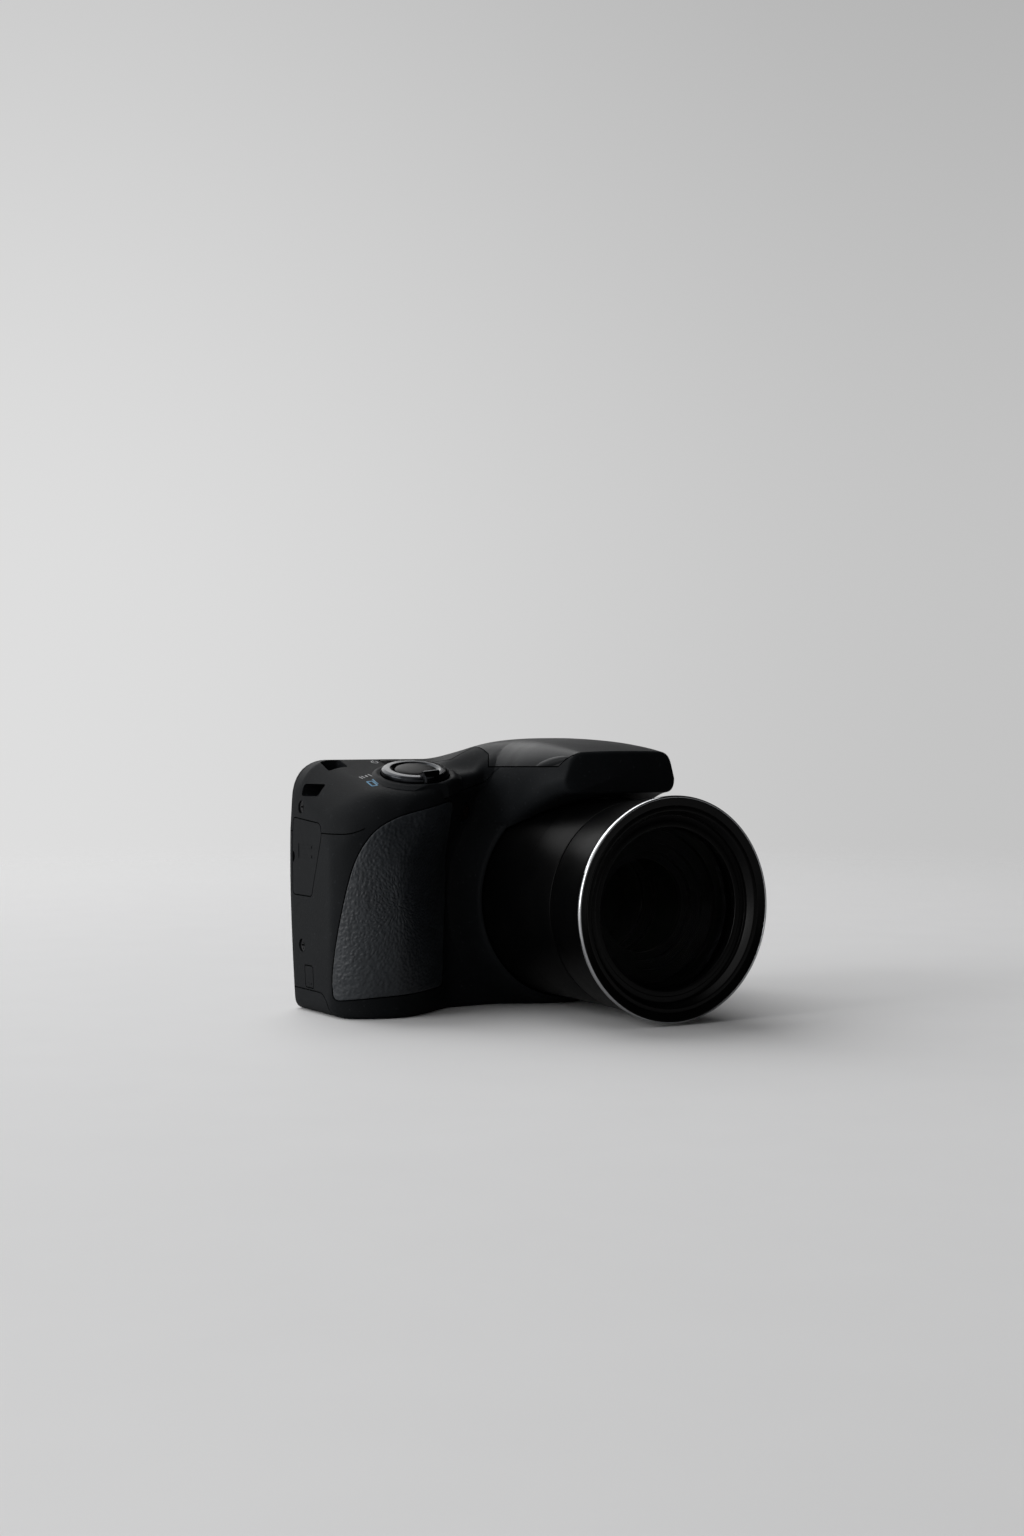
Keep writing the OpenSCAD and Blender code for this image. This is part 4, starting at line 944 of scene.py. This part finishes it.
def raised_bar(y0, z0, y1, z1, cut=0.25):
    bar = block("raised_bar", y0, z0, y1, z1, "x", -70, -64.5, cut)
    return cross(bar, proud, keep=True)


terminal = cross(twin(thin, "terminal_door"), prism("terminal_cut", TERMINAL, "x", -69.5, -62))
join(terminal, raised_bar(-8.6, 41.6, -2.4, 42.3), raised_bar(-8.6, 39.2, -3.8, 39.9),
     raised_bar(-1.0, 38.9, -0.2, 42.6))
carve(terminal, rod("nail_notch", 2.9, 39.2, 1.5, "x", -70, -65.9, 32))
fit(terminal, flap_black, "terminal_cover", "flap_rubber", "terminal_cover")
coupler = cross(twin(thin, "coupler_door"), prism("coupler_cut", COUPLER, "x", -69.5, -61))
join(coupler, raised_bar(-6.2, 7.3, -3.8, 7.6, 0.1))
fit(coupler, flap_black, "coupler_flap", "flap_rubber", "coupler_flap")

# %% [markdown]
# The battery door wraps round the lower corner. Its far edge carries the knuckles
# of the hinge, and a ribbed patch tells the thumb where to push.

# %% Battery door
door = twin(shell, "battery_door_shell")
join(door, block("knuckle_bar", -41.5, -15, -40.1, 3, "z", 0, 1.8))
cross(door, door_space(0))
for y in (-13, -2):
    carve(door, block("leaf_gap", -43, y - 0.2, -39, y + 4.2, "z", -1, 3))
carve(door, rod("pin_bore", *DOOR_AXIS, 0.5, "y", -20, 10, 24))
for i in range(5):
    x = 1.3 * i
    carve(door, block("push_rib", -62 + x, -10.5, -61.3 + x, -3.5, "z", -1, 0.25, 0.3))
fit(door, door_black, "battery_door", "body_plastic", "battery_door")

# %% [markdown]
# ## The grip's leather
# The grip is covered with a moulded rubber skin grained like leather. A bump alone
# would leave its outline smooth, so the grain is real: the skin is a grid of rings
# from the middle out to its edge, each point is set on the body's surface, and it
# is raised along the surface by a wrinkled field of cells. The edge rolls down
# into the pocket.

# %% Grip skin
def on_grip(u, z):
    """The point of the body that lies behind (u, z) in the leather's own view, and its normal."""
    eye, way = SKIN_TURN @ Vector((u, -62, z)), SKIN_TURN @ Vector((0, 1, 0))
    found, spot, out, face = case.ray_cast(eye, way)
    return spot, out


def wrinkle(spot):
    """Height of the leather grain, in millimetres: rounded cells with creases between."""
    bent = spot + 0.35 * noise.noise_vector(spot * 0.9)
    near, next_near = noise.voronoi(Vector((bent.x * 0.95, bent.y * 0.95, bent.z * 1.25)))[0][:2]
    fold = noise.noise(spot * 0.55)
    return 0.15 * ease((next_near - near) / 0.45) + 0.05 * fold + 0.03 * noise.noise(spot * 2.7)


AROUND, RINGS, MIDDLE = 400, 84, Vector((-40, 28))
PROUD, SUNK, MEAN_WRINKLE, HUB = 0.35, -0.7, 0.11, 0.004


def even(points, count):
    """Points at even steps along a closed outline."""
    ends = [Vector(p) for p in points] + [Vector(points[0])]
    walk = [0.0]
    for a, b in zip(ends, ends[1:]):
        walk.append(walk[-1] + (b - a).length)
    out, k = [], 0
    for i in range(count):
        at = walk[-1] * i / count
        while walk[k + 1] < at:
            k += 1
        out.append(ends[k].lerp(ends[k + 1], (at - walk[k]) / max(walk[k + 1] - walk[k], 1e-9)))
    return out


edge = even(SKIN, AROUND)


def skin_ring(share, lift, grain):
    ring = []
    for p in edge:
        spot, out = on_grip(*MIDDLE.lerp(p, share))
        ring.append(tuple(spot + out * (lift + (wrinkle(spot) - MEAN_WRINKLE) * grain)))
    return ring


rings = [skin_ring(HUB, PROUD, 1)]
rings += [skin_ring(i / RINGS, PROUD, 1) for i in range(1, RINGS - 1)]
rings += [skin_ring(1 - 0.013 * (1 - math.sin(t)), PROUD - 0.4 * (1 - math.cos(t)), math.cos(t) ** 2)
          for t in (0.25, 0.55, 0.9, 1.25)]
rings += [skin_ring(1, -0.15, 0)] + [skin_ring(share, SUNK, 0) for share in (1, 0.75, 0.5, 0.25, HUB)]
leather = loft("grip_leather_skin", rings)
fit(leather, grip_leather, "camera", "grip_rubber", "grip_skin", angle=75)


# %% [markdown]
# ## The lens
# Everything about the lens is turned on a lathe: a fixed sleeve, a sliding front
# collar with a polished ring, a black bezel that takes the lens cap, the front
# glass and a stepped baffle behind it. Each is a profile with rounded corners,
# spun about the lens axis.

# %% Sleeve and collar
sleeve = lathe("fixed_sleeve", soft([(25.1, -56.1, 0.15), (25.9, -56.1, 0.35), (25.9, -42.3, 0.15),
                                     (25.65, -42.05, 0.1), (25.65, -12), (25.1, -12)], steps=4), 160)
fit(sleeve, sleeve_black, "camera", "barrel_black", "lens_sleeve", angle=40)
slider = lathe("sliding_collar", soft([(21.8, -19.5), (21.8, -67.5), (25, -67.5), (25, -69.4), (26.7, -69.4),
                                       (26.7, -70.45), (27.2, -70.6, 0.1), (26.9, -69, 0.5),
                                       (26.0, -56.45, 0.4), (24.9, -56.45), (24.9, -65), (22.6, -65),
                                       (22.6, -19.5)], steps=4), 160)
fit(slider, collar_black, "front_barrel", "barrel_black", "front_barrel", angle=40)
inner = [(22.9, -55.5, 0.15), (23.7, -55.5, 0.2)]
for k in range(3):
    inner += [(23.7, -52 + 6 * k), (23.5, -51.8 + 6 * k), (23.5, -51.2 + 6 * k), (23.7, -51 + 6 * k)]
inner += [(23.7, -16.5), (12.4, -16.5), (12.4, -43.5), (13.4, -43.5), (13.4, -18), (22.9, -18)]
tube = lathe("middle_tube", soft(inner))
fit(tube, sleeve_black, "middle_barrel", "barrel_black", "middle_barrel", angle=40)

# %% [markdown]
# The front ring is bright: a thin rounded edge that catches the lamp. A black bevel
# falls inwards from it to the bezel, whose chamfer leads down to the front glass.
# Behind the glass a stepped baffle, a second glass and the shutter go into the dark.

# %% Front ring, bezel, glass and baffle
ring = lathe("bright_front_ring", soft([(26.95, -70.65), (26.95, -71.8, 0.08), (27.15, -71.95, 0.15),
                                        (27.5, -71.7, 0.4), (27.5, -70.85, 0.25), (27.3, -70.65)],
                                       steps=7), 192)
fit(ring, chrome, "front_barrel", "bright_ring", "front_ring", angle=50)
bevel = lathe("ring_bevel", soft([(25.02, -69.45), (25.02, -71.2, 0.12), (26.9, -71.82, 0.08),
                                  (26.9, -70.6), (26.65, -70.5), (26.65, -69.45)]), 192)
fit(bevel, bezel_black, "front_barrel", "gloss_black", angle=50)
bezel = [(24.98, -71.3, 0.25), (24.98, -67.5), (19.8, -67.5), (19.8, -69, 0.3), (21.2, -69, 0.1),
         (21.35, -68.85, 0.05), (22.7, -68.85, 0.1), (22.75, -69.8, 0.1), (23.9, -71.3, 0.2)]
bezel = lathe("filter_bezel", soft(bezel, steps=4), 160)
fit(bezel, bezel_black, "front_barrel", "gloss_black", "front_bezel", angle=40)
dome = [(60 * math.sin(t), -68.6 + 60 * (1 - math.cos(t))) for t in inside(0, math.asin(19.72 / 60), 23)]
glass = [(0, -68.6)] + dome + [(19.72, -65.2), (19.72, -62.5), (21.75, -62.5), (21.75, -61.55), (0, -61.55)]
fit(lathe("front_glass", glass, 128), lens_glass, "front_barrel", "lens_glass", "front_element", angle=30)
baffle = [(21.78, -61.5), (21.78, -55.5)]
for radius, low, high in ((11.3, -55.5, -56.9), (13.2, -56.9, -58.3), (15.4, -58.3, -59.7),
                          (18.4, -59.7, -61.5)):
    baffle += [(radius, low, 0.12), (radius, high, 0.12)]
baffle = lathe("stepped_baffle", soft(baffle, steps=3))
fit(baffle, baffle_black, "front_barrel", "inner_black", "front_baffle", angle=40)
inner_dome = [(36 * math.sin(t), -42.5 + 36 * (1 - math.cos(t))) for t in inside(0, math.asin(11.9 / 36), 15)]
second = [(0, -42.5)] + inner_dome + [(12.35, -40.2), (12.35, -38.55), (0, -38.55)]
fit(lathe("second_glass", second, 96), lens_glass, "middle_barrel", "lens_glass", "second_element", angle=30)
blades = [(12.35, -30.1), (12.35, -26.1), (5, -26.1), (5, -27.6, 0.1), (7.6, -28.1, 0.1), (7.6, -30.1, 0.1)]
blades = lathe("shutter_ring", soft(blades, steps=3), 96)
fit(blades, baffle_black, "middle_barrel", "inner_black", "shutter_unit", angle=40)


# %% [markdown]
# ## Deck controls
# The zoom ring is dark polished metal with a thumb tab at its front, and the
# release button sits in its bore. Both are turned upright about Z and then tilted
# to the deck. The tab is cut as a prism and its corners are rounded in its outline.

# %% Zoom ring, release button and power button
lever = soft([(5.6, -0.75), (LEVER_R, -0.75, 0.2), (LEVER_R, 1.6, 0.3), (7.9, 2.05, 0.25), (6.3, 2.1, 0.2),
              (5.6, 1.6, 0.15)], steps=6)
lever = lathe("zoom_ring_lever", lever, 128, "z", ORIGIN)
tab_side = soft([(-9.2, 0.6, 0.2), (-9.2, 2.2, 0.5), (-8.3, 3.7, 0.6), (-7.2, 3.5, 0.5), (-6.3, 1.5, 0.4),
                 (-6.3, 0.6)], steps=6)
tab_plan = soft([(-2.2, -9.2, 0.9), (2.2, -9.2, 0.9), (2.2, -6.2, 0.5), (-2.2, -6.2, 0.5)], steps=6)
tab = cross(prism("thumb_tab", tab_side, "x", -2.2, 2.2), prism("tab_plan", tab_plan, "z", 0, 5))
join(lever, tab)
carve(lever, rod("lever_bore", 0, 0, 5.6, "z", -3, 6, 96))
fit(move(lever, DECK), gun_metal, "zoom_lever", "lever_metal", "zoom_lever", angle=35)
cap = [(0, 2.5), (1.5, 2.46), (2.6, 2.38), (3.6, 2.26), (4.4, 2.12), (4.9, 1.96), (5.2, 1.7),
       (BUTTON_R, 1.35), (BUTTON_R, -1.3), (2, -1.3), (2, -4.2), (0, -4.2)]
release = move(lathe("release_button", cap, 96, "z", ORIGIN), DECK)
fit(release, key_black, "shutter_button", "key_plastic", "shutter_button", angle=40)
flange = deck_at(-40.5, -5.4) - 3.2
face = top_at(-40.5, -1.8) + 0.3
power = soft([(0, flange), (3.6, flange), (3.6, flange + 1.2), (3, flange + 1.2), (3, face, 0.35),
              (2.2, face, 0.1), (1.9, face - 0.15, 0.2), (0, face - 0.15)])
power = lathe("power_key", power, 64, "z", (-40.5, -1.8, 0))
fit(power, key_black, "power_button", "key_plastic", "power_button", angle=40)

# %% [markdown]
# Small painted marks stand beside the ring: four white strokes for the zoom, two
# little blue boxes, and the usual broken ring for power. A mark is a thin plate
# whose points lie on the deck.

# %% Painted marks
def on_top(x, y, lift):
    z = top_at(x, y)
    return (x * lean(z), y, z + lift)


def mark(name, outline, paint):
    """A painted mark: its outline in the deck's own plane, laid on the surface."""
    piece = prism(name, outline, "z", 0, 1)
    for corner in piece.data.vertices:
        corner.co = on_top(corner.co.x, corner.co.y, 0.035 if corner.co.z > 0.5 else -0.1)
    return fit(piece, paint, "camera", "key_plastic")


def turned_box(x, y, length, width, degrees):
    c, s = math.cos(math.radians(degrees)), math.sin(math.radians(degrees))
    corners = [(-length, -width), (length, -width), (length, width), (-length, width)]
    return soft([(x + (a * c - b * s) / 2, y + (a * s + b * c) / 2) for a, b in corners], width * 0.25)


STROKES = [(-55.6, -12.9, 0.3, 1.5), (-54.8, -12.6, 0.3, 1.5), (-53.7, -12.2, 0.5, 1.0),
           (-52.5, -11.9, 0.3, 1.8)]
BOX_SIDES = [(-0.75, 0, 0.4, 3.4), (0.75, 0, 0.4, 3.4), (0, 1.5, 1.2, 0.4), (0, -1.5, 1.2, 0.4)]
for i, (x, y, length, width) in enumerate(STROKES):
    mark(f"white_mark_{i + 1}", turned_box(x, y, length, width, 17), white_print)
for i, (x, y) in enumerate(((-54.6, -17.3), (-52.5, -16.3))):
    for k, (dx, dy, length, width) in enumerate(BOX_SIDES):
        mark(f"blue_mark_{i + 1}_{k + 1}", turned_box(x + dx, y + dy, length, width, 0), blue_print)
arc = [math.radians(a) for a in range(-240, 61, 10)]
power_ring = [(-46.2 + 1.0 * math.cos(a), -2.2 + 1.0 * math.sin(a)) for a in arc]
power_ring += [(-46.2 + 0.74 * math.cos(a), -2.2 + 0.74 * math.sin(a)) for a in reversed(arc)]
mark("power_mark_ring", power_ring, white_print)
mark("power_mark_stroke", turned_box(-46.2, -1.25, 0.26, 1.1, 0), white_print)


# %% [markdown]
# ## The back
# The back has a large display under a black window, four round keys, a four-way
# pad with a set key in its middle, and their small printed signs, which are the
# common ones: a dot to record, a triangle to play, a square for the frame, three
# bars for the menu and four arrow heads on the pad.

# %% Display window
window = block("display_window", -29.5, 6.5, 33.5, 55.5, "y", 6.6, 8.1, 1.7)
pick(window)
rounding = window.modifiers.new("rounding", "BEVEL")
rounding.width, rounding.segments = 0.25, 3
rounding.limit_method, rounding.angle_limit = "ANGLE", math.radians(60)
bpy.ops.object.modifier_apply(modifier="rounding")
fit(window, display_glass, "camera", "display_glass", "lcd_window")


# %% Keys and pad
KEY_FACE, PAD_FACE = 7.63, 7.84


def sign(name, outline, level, body, paint=white_print):
    """A printed sign on a key or on the back, in the (x, z) plane."""
    piece = prism(name, outline, "y", level - 0.06, level + 0.03)
    return fit(piece, paint, body, "key_plastic")


for name, (x, z) in KEYS.items():
    key = soft([(0, 4.85), (3.8, 4.85), (3.8, 5.6), (3, 5.6), (3, 7.75, 0.3), (2.3, 7.78, 0.2),
                (1.6, 7.68, 0.3), (0, 7.62)])
    key = lathe(f"{name}_key", key, 64, "y", (x, 0, z))
    fit(key, key_black, f"{name}_button", "key_plastic", f"{name}_button", angle=40)
red_print = polished("red_print", (0.35, 0.012, 0.010), (0.42, 0.016, 0.013), 0.4)
x, z = KEYS["movie"]
sign("record_sign", circle(x, z, 0.85, 32), KEY_FACE, "movie_button", red_print)
x, z = KEYS["play"]
sign("play_sign", [(x + 0.8, z - 0.9), (x + 0.8, z + 0.9), (x - 0.9, z)], KEY_FACE, "play_button")
x, z = KEYS["frame"]
outer, hole = (block("frame_sign", x - s, z - s * 0.8, x + s, z + s * 0.8, "y", 7.57, 7.66, 0.15)
               for s in (1.1, 0.85))
fit(carve(outer, hole), white_print, "frame_button", "key_plastic")
x, z = KEYS["menu"]
for k in (-1, 0, 1):
    bar = box_outline(x - 1, z + 0.6 * k - 0.14, x + 1, z + 0.6 * k + 0.14, 0.1)
    sign(f"menu_sign_{k + 2}", bar, KEY_FACE, "menu_button")
pad = soft([(5.2, 5.2), (10.5, 5.2), (10.5, 7.55, 0.2), (10.2, 7.9, 0.3), (9.7, 8.0, 0.4), (6.3, 7.6, 0.8),
            (5.2, 7.4, 0.2)])
pad = lathe("four_way_pad", pad, 128, "y", (PAD[0], 0, PAD[1]))
fit(pad, key_black, "control_pad", "key_plastic", "control_pad", angle=40)
for k in range(4):
    c, s = ((1, 0), (0, 1), (-1, 0), (0, -1))[k]
    tip = [(8.9, 0), (7.9, 0.8), (7.9, -0.8)]
    arrow = [(PAD[0] + a * c - b * s, PAD[1] + a * s + b * c) for a, b in tip]
    sign(f"pad_arrow_{k + 1}", arrow, PAD_FACE, "control_pad")
middle = soft([(0, 4.85), (4.9, 4.85), (4.9, 7.8, 0.35), (4.2, 7.8, 0.3), (3.4, 7.7, 0.4), (0, 7.62)])
middle = lathe("set_key", middle, 96, "y", (PAD[0], 0, PAD[1]))
fit(middle, key_black, "set_button", "key_plastic", "set_button", angle=40)
clear()


# %% [markdown]
# ## Small pieces
# The focus lamp looks out beside the lens, four dark screws hold the covers, and a
# plated bush with a quarter-inch thread takes the tripod. The thread is shown as
# fine rings of its real pitch, 1.27 mm.

# %% Lamp, screws and bush
lamp = soft([(0, -14.6), (1.6, -14.75), (2.45, -14.6, 0.25), (2.45, -13.1), (3.15, -13.1),
             (3.15, -12.2), (0, -12.2)])
lamp = lathe("focus_lamp", lamp, 48, "y", (-27, 0, 50.5))
fit(lamp, lamp_glass, "camera", "lamp_glass", "af_lamp", angle=40)
screws = None
for side, z in SCREWS:
    head = soft([(0, 0.25), (1.1, 0.12), (1.6, 0, 0.2), (1.6, 1.1), (0, 1.1)], steps=4)
    head = lathe("case_screw", head, 40, "z", ORIGIN)
    for size in ((2.2, 0.42), (0.42, 2.2)):
        a, b = (s / 2 for s in size)
        carve(head, block("driver_slot", -a, -b, a, b, "z", -1, 0.75))
    x = (GRIP_X * lean(z) + 0.4) if side < 0 else (FAR_X * lean(z) - 0.4)
    head.data.transform(Matrix.Translation((x, -1.5, z)) @ Matrix.Rotation(math.radians(-90 * side), 4, "Y"))
    screws = join(screws, head) if screws else head
fit(screws, dark_screw, "camera", "screw_black", "case_screws", angle=30)
thread = [(0, 6.9), (5, 6.9), (5, 2.6), (6.6, 2.6), (6.6, 1.62), (5, 1.62), (5, 0.02, 0.25), (3.5, 0.02, 0.2)]
PITCH = 1.27
for k in range(4):
    thread += [(3.2, 0.4 + PITCH * k), (3.45, 1.0 + PITCH * k)]
thread += [(3.2, 5.5), (0, 5.5)]
bush = lathe("tripod_bush_thread", soft(thread), 64, "z", ORIGIN)
carve(bush, block("bush_flat", -9, 3.7, 9, 12, "z", 1.61, 2.65))
fit(bush, brass, "camera", "steel", "tripod_bush", angle=30)

# %% [markdown]
# ## Flash head
# Under the lid sits a small box with a mirror trough, a glass tube and a ribbed
# window in front. It only shows when the lid is up.

# %% Flash parts
ribs = [(-46.9, 58.95)]
for k in range(14):
    ribs += [(-46.75, 59.05 + 0.25 * k), (-46.9, 59.18 + 0.25 * k)]
ribs += [(-46.9, 62.45), (-45.7, 62.45), (-45.7, 58.95)]
ribbed = prism("ribbed_window", ribs, "x", -11.45, 11.45)
fit(ribbed, flash_glass, "flash", "lens_glass", "flash_window", angle=20)

# %% [markdown]
# ## Inside
# The solids inside keep their own shapes, which are right, and only get their
# finishes: boards, steel chassis, card, battery and the parts of the lens.

# %% Finishes of the inner solids
INSIDE = {
    steel: ("chassis", "zoom_motor", "flash_frame", "flash_hinge_pin", "door_hinge_leaf", "door_hinge_pin",
            "latch_pin"),
    board_green: ("main_board", "sensor_board", "key_board", "switch_plate"),
    inner_black: ("lens_base", "cam_ring", "battery_case", "flash_housing", "flash_capacitor", "pad_pivot"),
    lens_glass: ("rear_element",), flash_glass: ("flash_tube",), mirror: ("flash_reflector",),
    sensor_face: ("image_sensor",), gloss_black: ("lcd_panel",), grey_plastic: ("speaker", "jack_block"),
    battery_grey: ("battery",), card_blue: ("memory_card",), latch_orange: ("battery_latch",)}
for material, names in INSIDE.items():
    for name in names:
        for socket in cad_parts[name].material_slots:
            socket.material = material
    print(material.name, "on", names)

# %% [markdown]
# The four forms that the covers were cut from have done their work.

# %% Finish
for scrap in (case, shell, thin, proud):
    bpy.data.objects.remove(scrap)
for block in [m for m in bpy.data.meshes if not m.users]:
    bpy.data.meshes.remove(block)
